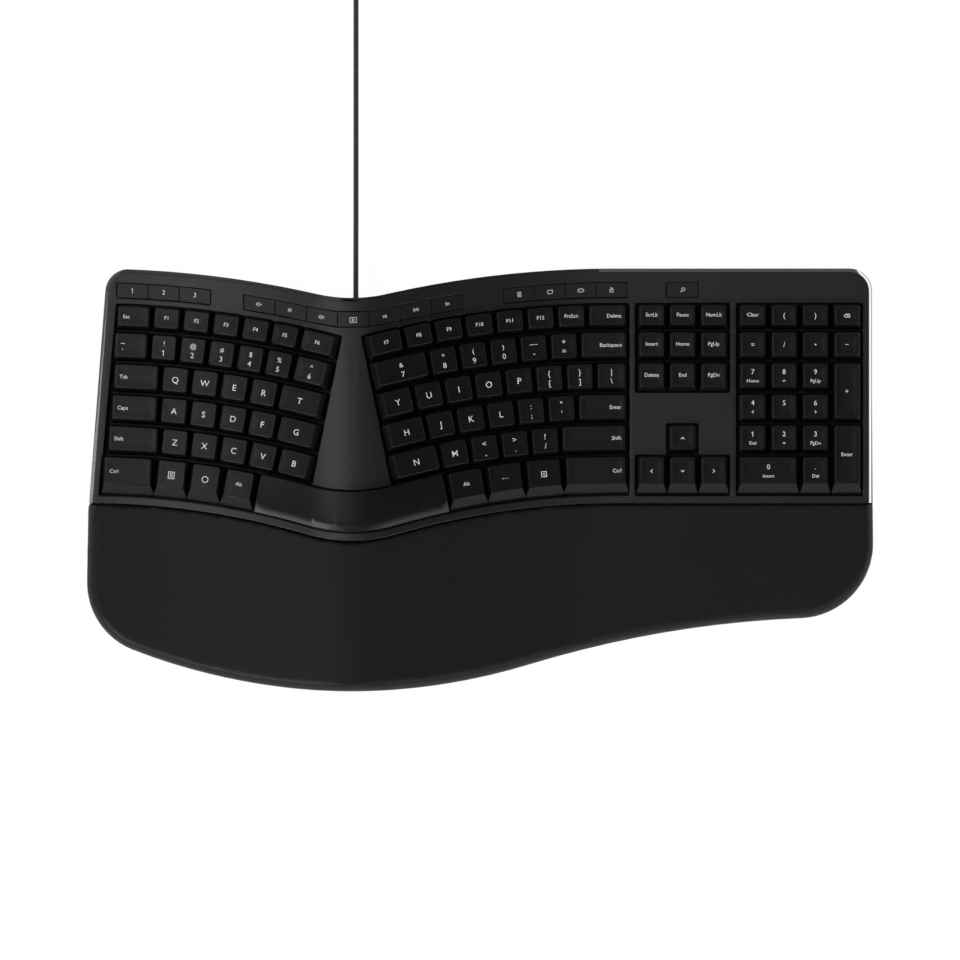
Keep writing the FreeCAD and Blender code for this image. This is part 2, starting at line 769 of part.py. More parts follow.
def hot_runs(group):
    """Each run of a group's flat keys, as the x of its keys' borders."""
    runs = []
    for start, end in HOT_GROUPS[group]:
        count = round((end - start) / HOT_PITCH)
        runs.append([start + n * (end - start) / count for n in range(count + 1)])
    return runs


HOT_RUNS = [xs for group in HOT_GROUPS for xs in hot_runs(group)]


def hot_outline(xs, half_depth):
    rear = [(x, row_y(HOT_ROW - half_depth, x)) for x in xs]
    front = [(x, row_y(HOT_ROW + half_depth, x)) for x in reversed(xs)]
    return Part.Face(polygon(rear + front)).extrude(Vector(0, 0, TALL))


def build_hot_keys(group):
    keys = []
    for xs in hot_runs(group):
        for left, right in zip(xs, xs[1:]):
            ends = [left + HOT_KEY_GAP / 2, right - HOT_KEY_GAP / 2]
            keys.append(hot_outline(ends, HOT_DEPTH / 2).common(wing_slab(HOT_RISE, -HOT_DROP)))
    return keys


def hot_slots(margin):
    slots = []
    for xs in HOT_RUNS:
        ends = [xs[0] - margin] + xs[1:-1] + [xs[-1] + margin]
        slots.append(hot_outline(ends, HOT_DEPTH / 2 + margin))
    return slots


def build_hot_key_boards():
    """A small switch board under each group of flat keys."""
    boards = []
    for xs in HOT_RUNS:
        board = hot_outline(xs, HOT_DEPTH / 2)
        boards.append(board.common(wing_slab(-HOT_BOARD_TOP, -HOT_BOARD_TOP - HOT_BOARD)))
    return boards


# Housing

REAR_POSTS = [(run[-1] + after[0]) / 2 for run, after in zip(HOT_RUNS, HOT_RUNS[1:])] + [RIGHT_X - 26.0]
POSTS = [(x, row_y(HOT_ROW, x)) for x in REAR_POSTS] + [
    (RIDGE_X, NUMBER_ROW_Y - 30.3),
    (NAV_X + UNIT, block_y(2 * ROW_PITCH)),
]
FLOOR_TOP = FOOT_HEIGHT + FLOOR
SCREW_SEAT = FOOT_HEIGHT + SCREW_SINK + SCREW_HEAD
REAR_WALL_Y = row_y(REAR_EDGE, RIDGE_X)
INNER_WALL_Y = row_y(REAR_EDGE + BAND_WIDTH + SHELL, RIDGE_X)


def rod(x, y0, y1, z, radius, sides=8):
    """Lengthwise prism with a regular section."""
    corners = [Vector(x + across, y0, z + up) for across, up in ngon(radius, sides)]
    return Part.Face(Part.makePolygon(corners + corners[:1])).extrude(Vector(0, y1 - y0, 0))


def gland_hole():
    return rod(CORD_X, REAR_WALL_Y - 12, REAR_WALL_Y + 8, CORD_EXIT_Z, GLAND_R)


def build_top_case():
    block = case_block(BAND_WIDTH, FLOOR_TOP, TALL, 0.0)
    inside = case_block(BAND_WIDTH + SHELL, 0, TALL)
    shell = block.common(wing_slab(0)).cut(inside.common(wing_slab(-SHELL)))
    posts = [peg(x, y, BOSS_TOP, TALL, POST_R).common(wing_slab(-SHELL / 2)) for x, y in POSTS]
    for post in posts:
        shell = shell.fuse(post)
    holes = wells(WELL_MARGIN) + hot_slots(HOT_GAP) + [gland_hole()]
    holes += [peg(x, y, 0, SCREW_SEAT + SCREW_LENGTH, SCREW_R) for x, y in POSTS]
    for hole in holes:
        shell = shell.cut(hole)
    return shell.removeSplitter()


def build_side_band():
    ring = case_block(0.0, FLOOR_TOP, TALL).cut(case_block(BAND_WIDTH, 0, TALL, -10.0))
    return ring.common(wing_slab(-BAND_DROP)).cut(gland_hole())


def build_bottom_case():
    tray = floor_block(FOOT_HEIGHT, FLOOR_TOP)
    bosses = [peg(x, y, FOOT_HEIGHT, BOSS_TOP, BOSS_R) for x, y in POSTS]
    pockets = [leg_pocket(leg) for leg in (LEFT_LEG, RIGHT_LEG)]
    for solid in bosses + pockets:
        tray = tray.fuse(solid)
    holes = [leg_room(leg) for leg in (LEFT_LEG, RIGHT_LEG)] + [leg_pin(leg) for leg in (LEFT_LEG, RIGHT_LEG)]
    for x, y in POSTS:
        holes += [peg(x, y, 0, SCREW_SEAT, SCREW_SINK_R), peg(x, y, 0, TALL, SCREW_HOLE_R)]
    for hole in holes:
        tray = tray.cut(hole)
    return tray.removeSplitter()


def build_screws():
    screws = []
    for x, y in POSTS:
        head = peg(x, y, FOOT_HEIGHT + SCREW_SINK, SCREW_SEAT, SCREW_HEAD_R)
        screws.append(head.fuse(peg(x, y, SCREW_SEAT, SCREW_SEAT + SCREW_LENGTH, SCREW_R)).removeSplitter())
    return screws


FEET = [
    (LEFT_REAR_X + 34.4, NUMBER_ROW_Y + 27.7),
    (RIDGE_X, NUMBER_ROW_Y + 15.7),
    (RIGHT_X - 59.0, NUMBER_ROW_Y + 33.7),
    (PALM_LEFT_X + 30.0, FRONT_Y + 70.0),
    (RIDGE_X, FRONT_Y + 18.0),
    (PALM_RIGHT_X - 32.0, FRONT_Y + 90.0),
]


def build_feet():
    feet = []
    for x, y in FEET:
        corners = octagon(x - PAD_LENGTH / 2, x + PAD_LENGTH / 2, y - PAD_R, y + PAD_R, PAD_CORNER)
        feet.append(Part.Face(polygon(corners)).extrude(Vector(0, 0, FOOT_HEIGHT)))
    return feet


# Palm rest


def palm_slab(offset):
    return wing_slab(offset, None, PALM_SLOPE, PALM_START_Y, FRONT_Y - PAD_R)


def palm_z(x, y):
    return deck_z(x) + (y - PALM_START_Y) * math.tan(math.radians(PALM_SLOPE))


def build_palm_pad():
    body = palm_block(0.0, PALM_BOTTOM, TALL).common(palm_slab(0.0))
    rim = []
    for edge in body.Edges:
        middle = edge.valueAt((edge.FirstParameter + edge.LastParameter) / 2)
        on_top = abs(middle.z - palm_z(middle.x, middle.y)) < 0.01
        at_rear = abs(middle.y - row_y(FRONT_BAND_END + PALM_STEP, middle.x)) < 0.5
        seam = edge.BoundBox.XLength < 0.01 and abs(middle.x) < RIGHT_X - SHELL
        if on_top and not at_rear and not seam:
            rim.append(edge)
    return body.makeChamfer(PALM_ROLL, rim).cut(palm_inside(PALM_PAD, PALM_BOTTOM - FLOOR))


def palm_inside(wall, bottom):
    return palm_block(wall, bottom, TALL).common(palm_slab(-wall))


def build_palm_core():
    """A solid moulding: nothing opens into it but the leg pockets."""
    core = palm_block(PALM_PAD, FLOOR_TOP, TALL).common(palm_slab(-PALM_PAD))
    for leg in (LEFT_LEG, RIGHT_LEG):
        core = core.cut(leg_pocket(leg, PART_GAP))
    return core


# Fold-out legs, hinged at their front ends

LEG_ROUND = LEG_THICK / 2
LEG_AXIS_Z = FOOT_HEIGHT + LEG_SINK + LEG_ROUND


def leg_pin(leg):
    x, y = leg
    half = LEG_WIDTH / 2 + LEG_GAP + POCKET_WALL
    return axle(x, y, LEG_PIN_R, half)


def axle(x, y, radius, half):
    """Octagonal prism across the keyboard, at the legs' axis."""
    corners = [Vector(x - half, y + along, LEG_AXIS_Z + up) for along, up in ngon(radius, 8)]
    return Part.Face(Part.makePolygon(corners + corners[:1])).extrude(Vector(2 * half, 0, 0))


def build_leg(leg):
    x, y = leg
    half = LEG_WIDTH / 2
    z0, z1 = LEG_AXIS_Z - LEG_ROUND, LEG_AXIS_Z + LEG_ROUND
    front = Part.makeCylinder(LEG_ROUND, LEG_WIDTH, Vector(x - half, y, LEG_AXIS_Z), Vector(1, 0, 0))
    tip_y = y + LEG_LENGTH
    body = box(x - half, x + half, y, tip_y, z0, z1).fuse(front).removeSplitter()
    window = box(x - half + 8, x + half - 8, y + 5, tip_y - 3, z0 - 1, z0 + LEG_THICK / 2)
    bore = axle(x, y, LEG_PIN_R + LEG_BORE_GAP, half)
    return body.cut(window).cut(bore)


def leg_room(leg):
    x, y = leg
    half = LEG_WIDTH / 2 + LEG_GAP
    y0, y1 = y - LEG_ROUND - LEG_GAP, y + LEG_LENGTH + LEG_GAP
    return box(x - half, x + half, y0, y1, 0, pocket_top() - POCKET_ROOF)


def pocket_top():
    return LEG_AXIS_Z + LEG_ROUND + LEG_SINK + POCKET_ROOF


def leg_pocket(leg, margin=0.0):
    room = leg_room(leg).BoundBox
    wall = POCKET_WALL + margin
    top = pocket_top() + margin
    return box(room.XMin - wall, room.XMax + wall, room.YMin - wall, room.YMax + wall, FOOT_HEIGHT, top)


# Layers under the keys


def layer_block(inset):
    sides = BAND_WIDTH + SHELL + LAYER_GAP + inset
    rear = LAYER_REAR + inset
    front = FRONT_BAND_END - sides
    left = [left_side_x(row_y(distance, LEFT_REAR_X)) + sides for distance in (rear, front)]
    return strip(rear, front, left, (RIGHT_X - sides, RIGHT_X - sides))


def drill_posts(layer):
    for x, y in POSTS:
        layer = layer.cut(peg(x, y, 0, TALL, POST_HOLE_R))
    return layer


def build_layer(top, thickness):
    return drill_posts(layer_block(0.0).common(wing_slab(-top, -top - thickness)))


def build_domes():
    base, top = DOME_SEAT_GAP - MEMBRANE_TOP, -STEM_REACH - STEM_END_GAP
    dome = frustum(ngon(DOME_R, DOME_SIDES), base, ngon(DOME_TOP_R, DOME_SIDES), top)
    domes = [seat(dome, key) for key in KEYS]
    x, y = space_stems()[1]
    dome.translate(Vector(x, y, deck_z(x)))
    return domes + [dome]


STABILISED = ["key_backspace", "key_enter", "key_shift_right", "key_shift_left", "key_pad_zero"]
WIRE = 1.2
WIRE_LIFT = 0.5
WIRE_INSET = 4.0
WIRE_ARM = 6.0


def stabiliser_wire(key):
    """A bar beside the stem with an arm at each end."""
    half = key[4] / 2 - WIRE_INSET
    z0 = WIRE_LIFT - MEMBRANE_TOP
    z1 = z0 + WIRE
    y = -STEM
    bar = box(-half, half, y - WIRE, y, z0, z1)
    for x in (-half, half - WIRE):
        bar = bar.fuse(box(x, x + WIRE, y, y + WIRE_ARM, z0, z1))
    return seat(bar.removeSplitter(), key)


def build_wires():
    return [stabiliser_wire(key) for key in KEYS if key[0] in STABILISED]


# Electronics

BOARD_Z = FLOOR_TOP
BOARD = (RIDGE_X - 22.3, RIDGE_X + 32.7, NUMBER_ROW_Y - 2.3, NUMBER_ROW_Y + 18.7)
BOARD_THICK = 1.6
LEAD_R = 1.1
GLAND_LIP = 0.6
GLAND_FLANGE = 1.5


def build_controller_board():
    x0, x1, y0, y1 = BOARD
    top = BOARD_Z + BOARD_THICK
    board = box(x0, x1, y0, y1, BOARD_Z, top)
    chip = box(x0 + 34, x0 + 44, y0 + 5, y0 + 15, top, top + 1.4)
    socket = box(CORD_X - 4, CORD_X + 4, y1 - 7, y1, top, CORD_EXIT_Z + 2.4)
    return board.fuse([chip, socket]).removeSplitter()


def build_gland():
    barrel = rod(CORD_X, INNER_WALL_Y, REAR_WALL_Y + GLAND_LIP, CORD_EXIT_Z, GLAND_R)
    flange = rod(CORD_X, INNER_WALL_Y - GLAND_FLANGE, INNER_WALL_Y, CORD_EXIT_Z, GLAND_R + GLAND_FLANGE)
    return barrel.fuse(flange).removeSplitter()


def build_inner_lead():
    return rod(CORD_X, BOARD[3], INNER_WALL_Y - GLAND_FLANGE, CORD_EXIT_Z, LEAD_R, CORD_SIDES)


# Cord: out of the gland, down to the desk and into an oval coil of two layers

CORD_R = CORD_D / 2
GLAND_END_Y = REAR_WALL_Y + GLAND_LIP
CORD_ROUTE = [
    (CORD_X, GLAND_END_Y, CORD_EXIT_Z),
    (CORD_X, GLAND_END_Y + 16.0, CORD_EXIT_Z),
    (CORD_X, GLAND_END_Y + 48.0, CORD_R),
    (CORD_X, COIL_START_Y, CORD_R),
]


GAP_STEP = 1.5


def smooth_path(points):
    """Straight runs joined by tangent arcs, each as large as its two runs allow."""
    nodes = [Vector(*p) for p in points]
    edges, start = [], nodes[0]
    for before, corner, after in zip(nodes, nodes[1:], nodes[2:]):
        into, out = (before - corner), (after - corner)
        turn = math.pi - into.getAngle(out)
        reach = 0.45 * min(into.Length, out.Length)
        radius = reach / math.tan(turn / 2)
        print("cord radius", round(radius, 1))
        into.normalize()
        out.normalize()
        bisector = (into + out).normalize()
        middle = corner + bisector * (radius / math.cos(turn / 2) - radius)
        a, b = corner + into * reach, corner + out * reach
        edges += [Part.LineSegment(start, a).toShape(), Part.Arc(a, middle, b).toShape()]
        start = b
    edges.append(Part.LineSegment(start, nodes[-1]).toShape())
    return edges


def coil_path():
    """Half turns and runs that spiral inwards, climb a layer where they reverse, and spiral out."""
    start = Vector(*CORD_ROUTE[-1])
    here = start + Vector(0, COIL_RUN, 0)
    edges = [Part.LineSegment(start, here).toShape()]
    step = COIL_PITCH / 2
    outwards = [COIL_INNER_R + (n + 1) * step for n in range(COIL_BENDS)]
    inwards = list(reversed(outwards))
    side = 1
    for radius in inwards + [COIL_INNER_R] + outwards[:-1]:
        rise = COIL_PITCH if radius == COIL_INNER_R else 0.0
        end = here + Vector(2 * radius * side, 0, rise)
        top = (here + end) * 0.5 + Vector(0, (end - here).Length / 2 * side, 0)
        edges.append(Part.Arc(here, top, end).toShape())
        here = end + Vector(0, -COIL_RUN * side, 0)
        edges.append(Part.LineSegment(end, here).toShape())
        side = -side
    return edges, here


def tail_points():
    """From the end of the coil's upper layer down to the desk."""
    end = coil_path()[1]
    drop_end = TAIL_LENGTH + TAIL_DROP
    return [
        end,
        end + Vector(0, TAIL_LENGTH, 0),
        end + Vector(0, drop_end, -COIL_PITCH),
        end + Vector(0, drop_end + TAIL_END, -COIL_PITCH),
    ]


def least_gap(path):
    """The least gap between stretches of the cord that lie beside or on each other, measured on points."""
    points = path.discretize(Distance=GAP_STEP)
    skip = int(4 * CORD_D / GAP_STEP)
    least = 1000.0
    for n, point in enumerate(points):
        for other in points[n + skip :]:
            if abs(other.x - point.x) < least and abs(other.y - point.y) < least:
                least = min(least, point.distanceToPoint(other))
    return least - CORD_D


def sweep_cord(edges, start):
    """The cord's tube along a path that starts towards +Y."""
    path = Part.Wire(edges)
    corners = [start + Vector(x, 0, z) for x, z in ngon(CORD_R, CORD_SIDES)]
    section = Part.makePolygon(corners + corners[:1])
    tube = path.makePipeShell([section], True, False)
    print("length", round(path.Length), "volume", round(tube.Volume),
          "section by length", round(Part.Face(section).Area * path.Length))
    return tube


def build_cord_run():
    return sweep_cord(smooth_path(CORD_ROUTE), Vector(*CORD_ROUTE[0]))


def build_cord_coil():
    edges = coil_path()[0] + smooth_path(tail_points())
    print("least gap of the coil to itself", round(least_gap(Part.Wire(edges)), 2))
    return sweep_cord(edges, Vector(*CORD_ROUTE[-1]))


def build_plug():
    end = tail_points()[-1]
    z0 = end.z - CORD_R
    half = PLUG_WIDTH / 2
    start = end.y + PLUG_NECK
    corners = octagon(end.x - half, end.x + half, z0, z0 + PLUG_THICK, PLUG_CORNER)
    section = Part.makePolygon([Vector(x, start, z) for x, z in corners + corners[:1]])
    body = Part.Face(section).extrude(Vector(0, PLUG_LENGTH, 0))
    return body.fuse(rod(end.x, end.y, start, end.z, CORD_R, CORD_SIDES)).removeSplitter()


def build_plug_shell():
    """A thin sleeve with its contact tongue."""
    end = tail_points()[-1]
    x, y = end.x, end.y + PLUG_NECK + PLUG_LENGTH
    z = end.z - CORD_R + PLUG_THICK / 2
    half, high, t = SHELL_WIDTH / 2, SHELL_THICK / 2, SHELL_WALL
    sleeve = box(x - half, x + half, y, y + SHELL_LENGTH, z - high, z + high)
    room = box(x - half + t, x + half - t, y + 1, y + SHELL_LENGTH + 1, z - high + t, z + high - t)
    tongue = box(x - half + t, x + half - t, y + 1, y + SHELL_LENGTH - 1, z, z + high - t)
    return sleeve.cut(room).fuse(tongue).removeSplitter()


def build_parts():
    parts = {
        "bottom_case": build_bottom_case(),
        "top_case": build_top_case(),
        "side_band": build_side_band(),
        "palm_rest_core": build_palm_core(),
        "palm_rest_pad": build_palm_pad(),
        "rubber_domes": build_domes(),
        "membrane": build_layer(MEMBRANE_TOP, MEMBRANE),
        "backing_plate": build_layer(MEMBRANE_TOP + MEMBRANE, PLATE),
        "stabiliser_wires": build_wires(),
        "controller_board": build_controller_board(),
        "hot_key_boards": build_hot_key_boards(),
        "cord_gland": build_gland(),
        "inner_lead": build_inner_lead(),
        "rubber_feet": build_feet(),
        "case_screws": build_screws(),
        "leg_pins": [leg_pin(leg) for leg in (LEFT_LEG, RIGHT_LEG)],
        "leg_left": build_leg(LEFT_LEG),
        "leg_right": build_leg(RIGHT_LEG),
        "key_space": build_space_bar(),
        "cord_run": build_cord_run(),
        "cord_coil": build_cord_coil(),
        "usb_plug": build_plug(),
        "usb_shell": build_plug_shell(),
    }
    for key in KEYS:
        parts.setdefault(key[0], []).append(cap_of(key))
    for group in HOT_GROUPS:
        parts[group] = build_hot_keys(group)
    return parts


if __name__ == "__main__":
    os.makedirs("parts", exist_ok=True)
    for node, shape in build_parts().items():
        if isinstance(shape, list):
            shape = Part.makeCompound(shape)
        shape.exportStep("parts/%s.step" % node)
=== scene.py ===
"""Looks of the split ergonomic keyboard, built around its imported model. Lengths are in millimetres
until a piece is placed."""

import math

import bmesh
import bpy
from mathutils import Matrix, Vector


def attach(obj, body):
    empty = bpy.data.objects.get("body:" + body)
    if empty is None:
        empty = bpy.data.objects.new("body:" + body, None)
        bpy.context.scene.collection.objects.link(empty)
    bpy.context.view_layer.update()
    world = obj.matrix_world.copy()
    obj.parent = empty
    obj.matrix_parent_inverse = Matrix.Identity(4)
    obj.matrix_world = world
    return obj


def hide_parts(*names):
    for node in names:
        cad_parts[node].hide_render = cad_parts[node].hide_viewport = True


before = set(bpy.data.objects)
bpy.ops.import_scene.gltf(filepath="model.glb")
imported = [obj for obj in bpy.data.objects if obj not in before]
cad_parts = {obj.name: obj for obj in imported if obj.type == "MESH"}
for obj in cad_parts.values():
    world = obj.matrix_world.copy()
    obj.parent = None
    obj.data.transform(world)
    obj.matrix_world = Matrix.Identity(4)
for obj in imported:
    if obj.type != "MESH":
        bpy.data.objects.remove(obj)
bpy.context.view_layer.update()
MM = 0.001

# Plan of the rows: an arc for each half and a dip between them

RIDGE_X = -78.7
ARC_SIDE = 161.3
ARC_Y = -493.0
NUMBER_ROW_R = 575.3
DIP_R = 95.0
FLAT_ARC_DROP = 0.2
REAR_EDGE = -47.7

# Gull-wing section of the deck

DECK_SIDE_Z = 17.5
CREST_R = 130.0
HOLLOW_R = 600.0
WING_ANGLE = math.radians(12.0)
WING_HALF = (CREST_R + HOLLOW_R) * math.sin(WING_ANGLE)
CREST_Z = DECK_SIDE_Z + (CREST_R + HOLLOW_R) * (1 - math.cos(WING_ANGLE))

# Raised keys

KEY_GAP = 0.7
KEY_RISE = 5.5
KEY_DROP = 2.5
ROW_PITCH = 19.1
FUNCTION_ROW = -17.9
FUNCTION_DEPTH = 15.8
KEY_DEPTH = 18.4
THUMB_ROW = 79.4
THUMB_DEPTH = 24.4
BEVEL_DEPTH = 5.8
BEVEL_DROP = 2.4
SIDE_TAPER = 1.55
BLOCK_TAPER = 1.8
THUMB_TAPER = 2.0
INNER_TAPER = 2.6
FRONT_TAPER = 2.6
REAR_TAPER = 0.6
LARGE_FRONT_TAPER = 1.0
CAP_WALL = 1.2
STEM = 4.4
STEM_REACH = 7.7
ALPHA = 18.45
NUMBER = 18.0
RIGHT_ALPHA = 18.8

# Navigation block and number pad

UNIT = 19.05
PAD_PITCH = 19.25
PAD_KEY_GAP = 0.9
NAV_X = RIDGE_X + ARC_SIDE + 22.8
PAD_X = NAV_X + 2 * UNIT + 24.0
BLOCK_BOTTOM_ROW = 79.6

# Flat keys

HOT_ROW = -34.5
HOT_RISE = 0.35

# Cord

CORD_D = 3.2
CORD_R = CORD_D / 2
CORD_X = RIDGE_X + 2.3
CORD_EXIT_Z = 9.0
CORD_LEVEL_RUN = 16.0
CORD_LANDING = 48.0
GLAND_LIP = 0.6
COIL_START_Y = 320.0
COIL_RUN = 78.0
COIL_INNER_R = 12.2
COIL_PITCH = 3.7
COIL_BENDS = 4
BEND_STEPS = 4
TAIL_LENGTH = 24.0
TAIL_DROP = 22.0
TAIL_END = 14.0

# Camera: straight above, its frame as wide as 960 of the photograph's pixels

CAMERA_HEIGHT = 6.0
FRAME_WIDTH = 0.58992
SENSOR = 36.0


def dip(distance):
    """A row arc's radius, the centre of its dip and how far from the ridge the two meet."""
    radius = NUMBER_ROW_R - distance
    centre_y = ARC_Y + math.sqrt((radius + DIP_R) ** 2 - ARC_SIDE**2)
    return radius, centre_y, ARC_SIDE * (1 - radius / (radius + DIP_R))


def row_y(distance, x):
    """Height of the row curve in plan at x."""
    radius, centre_y, tangent = dip(distance)
    away = abs(x - RIDGE_X)
    if away < tangent:
        return centre_y - math.sqrt(DIP_R**2 - away**2)
    if x > RIDGE_X + ARC_SIDE:
        return ARC_Y + radius
    return ARC_Y + math.sqrt(radius**2 - (away - ARC_SIDE) ** 2)


def row_point(side, distance, along):
    """A point at an arc length along a row, and the row's heading there, in radians."""
    radius = NUMBER_ROW_R - distance
    if side > 0 and along > 0:
        return RIDGE_X + ARC_SIDE + along, ARC_Y + radius, 0.0
    turn = along / radius
    x = RIDGE_X + side * ARC_SIDE + radius * math.sin(turn)
    return x, ARC_Y + radius * math.cos(turn), -turn


def deck_z(x):
    away = abs(x - RIDGE_X)
    if away < CREST_R * math.sin(WING_ANGLE):
        return CREST_Z - CREST_R + math.sqrt(CREST_R**2 - away**2)
    if away < WING_HALF:
        return DECK_SIDE_Z + HOLLOW_R - math.sqrt(HOLLOW_R**2 - (WING_HALF - away) ** 2)
    return DECK_SIDE_Z


def deck_tilt(x):
    """Lean of the deck's normal to the right, in radians."""
    away = abs(x - RIDGE_X)
    side = math.copysign(1, x - RIDGE_X)
    if away < CREST_R * math.sin(WING_ANGLE):
        return side * math.asin(away / CREST_R)
    if away < WING_HALF:
        return side * math.asin((WING_HALF - away) / HOLLOW_R)
    return 0.0


# Rows of both halves: distance in front of the number row, depth, arc length from the arc's summit to
# the left end of the first place, and the widths of the places

LEFT_ROWS = [
    (FUNCTION_ROW, FUNCTION_DEPTH, 16.4, [22.4] + [18.5] * 5 + [23.2]),
    (0.0, KEY_DEPTH, 14.7, [22.6] + [NUMBER] * 5 + [22.8]),
    (ROW_PITCH, KEY_DEPTH, 14.3, [29.8] + [ALPHA] * 4 + [28.4]),
    (2 * ROW_PITCH, KEY_DEPTH, 12.9, [30.4] + [ALPHA] * 4 + [25.8]),
    (3 * ROW_PITCH, KEY_DEPTH, 10.9, [32.9] + [ALPHA] * 4 + [22.0]),
    (THUMB_ROW, THUMB_DEPTH, 7.6, [32.6] + [21.0] * 3),
]
RIGHT_ROWS = [
    (FUNCTION_ROW, FUNCTION_DEPTH, -154.1, [23.0] + [19.0] * 6 + [25.4]),
    (0.0, KEY_DEPTH, -150.5, [35.1] + [18.7] * 5 + [30.5]),
    (ROW_PITCH, KEY_DEPTH, -146.4, [21.6] + [RIGHT_ALPHA] * 6 + [20.4]),
    (2 * ROW_PITCH, KEY_DEPTH, -143.1, [25.8] + [RIGHT_ALPHA] * 5 + [31.6]),
    (3 * ROW_PITCH, KEY_DEPTH, -139.5, [30.8] + [RIGHT_ALPHA] * 4 + [41.6]),
    (THUMB_ROW, THUMB_DEPTH, -103.5, [24.0] * 3 + [40.4]),
]


def columns(side, first, last):
    return ["keys_%s_%d" % (side, n) for n in range(first, last + 1)]


LEFT_NODES = [
    ["key_escape"] + columns("left", 1, 6),
    ["key_backquote"] + columns("left", 1, 6),
    ["key_tab"] + columns("left", 1, 5),
    ["key_caps_lock"] + columns("left", 1, 5),
    ["key_shift_left"] + columns("left", 1, 5),
    ["key_ctrl_left"] + columns("left", 1, 3),
]
RIGHT_NODES = [
    columns("right", 1, 7) + ["key_delete"],
    columns("right", 1, 6) + ["key_backspace"],
    columns("right", 1, 7) + ["key_backslash"],
    columns("right", 1, 6) + ["key_enter"],
    columns("right", 1, 5) + ["key_shift_right"],
    columns("right", 3, 5) + ["key_ctrl_right"],
]

# What each key says. A kind sets the size and place of its words and signs.


def words(kind, text):
    return [(kind, word) for word in text.split()]


LEFT_LEGENDS = [
    [("left", "Esc")] + words("word", "F1 F2 F3 F4 F5 F6"),
    [("left_pair", "~`")] + words("pair", "!1 @2 #3 $4 %5 ^6"),
    [("left", "Tab")] + words("letter", "Q W E R T"),
    [("left", "Caps")] + words("letter", "A S D F G"),
    [("left", "Shift")] + words("letter", "Z X C V B"),
    [("left", "Ctrl"), ("sign", "menu"), ("sign", "ring"), ("word", "Alt")],
]
RIGHT_LEGENDS = [
    words("word", "F7 F8 F9 F10 F11 F12 PrtScn") + [("right", "Delete")],
    words("pair", "&7 *8 (9 )0 —- +=") + [("right", "Backspace")],
    words("letter", "Y U I O P") + words("pair", "{[ }] |\\"),
    words("letter", "H J K L") + words("pair", ":; \"'") + [("right", "Enter")],
    words("letter", "N M") + words("pair", "<, >. ?/") + [("right", "Shift")],
    [("word", "Alt"), ("sign", "dots"), ("sign", "page"), ("right", "Ctrl")],
]
NAV_LEGENDS = words("word", "ScrLk Pause NumLk Insert Home PgUp Delete End PgDn")
ARROW_LEGENDS = [("sign", "up"), ("sign", "left"), ("sign", "down"), ("sign", "right")]
PAD_TOP_LEGENDS = [("word", "Clear"), ("glyph", "("), ("glyph", ")"), ("sign", "erase")]
PAD_TOP_LEGENDS += [("glyph", "="), ("glyph", "/"), ("glyph", "•"), ("glyph", "−")]
PAD_LEGENDS = [("digit", "7", "Home"), ("digit", "8", "up"), ("digit", "9", "PgUp")]
PAD_LEGENDS += [("digit", "4", "left"), ("digit", "5", ""), ("digit", "6", "right")]
PAD_LEGENDS += [("digit", "1", "End"), ("digit", "2", "down"), ("digit", "3", "PgDn")]


class Key:
    """One raised key: its node, its middle and heading in plan, its size and what it says."""

    def __init__(self, node, place, heading, width, depth, tapers, mark):
        self.node = node
        self.x, self.y = place
        self.heading = heading
        self.width = width
        self.depth = depth
        self.tapers = tapers
        # Deep keys slope down at the front
        self.bevelled = depth > THUMB_DEPTH - 1
        self.mark = mark


def key_rows():
    keys = []
    halves = (
        (-1, LEFT_ROWS, LEFT_NODES, LEFT_LEGENDS),
        (1, RIGHT_ROWS, RIGHT_NODES, RIGHT_LEGENDS),
    )
    for side, rows, names, legends in halves:
        inner_key = -1 if side < 0 else 0
        for (distance, depth, along, widths), nodes, marks in zip(rows, names, legends):
            for width, node, mark in zip(widths, nodes, marks):
                x, y, heading = row_point(side, distance, along + width / 2)
                tapers = [THUMB_TAPER if depth == THUMB_DEPTH else SIDE_TAPER] * 2
                if node == nodes[inner_key] and depth != THUMB_DEPTH:
                    tapers[0 if side > 0 else 1] = INNER_TAPER
                size = (width - KEY_GAP, depth - KEY_GAP)
                keys.append(Key(node, (x, y), heading, *size, tuple(tapers), mark))
                along += width
    return keys


def block_y(distance):
    return ARC_Y + NUMBER_ROW_R + FLAT_ARC_DROP - distance


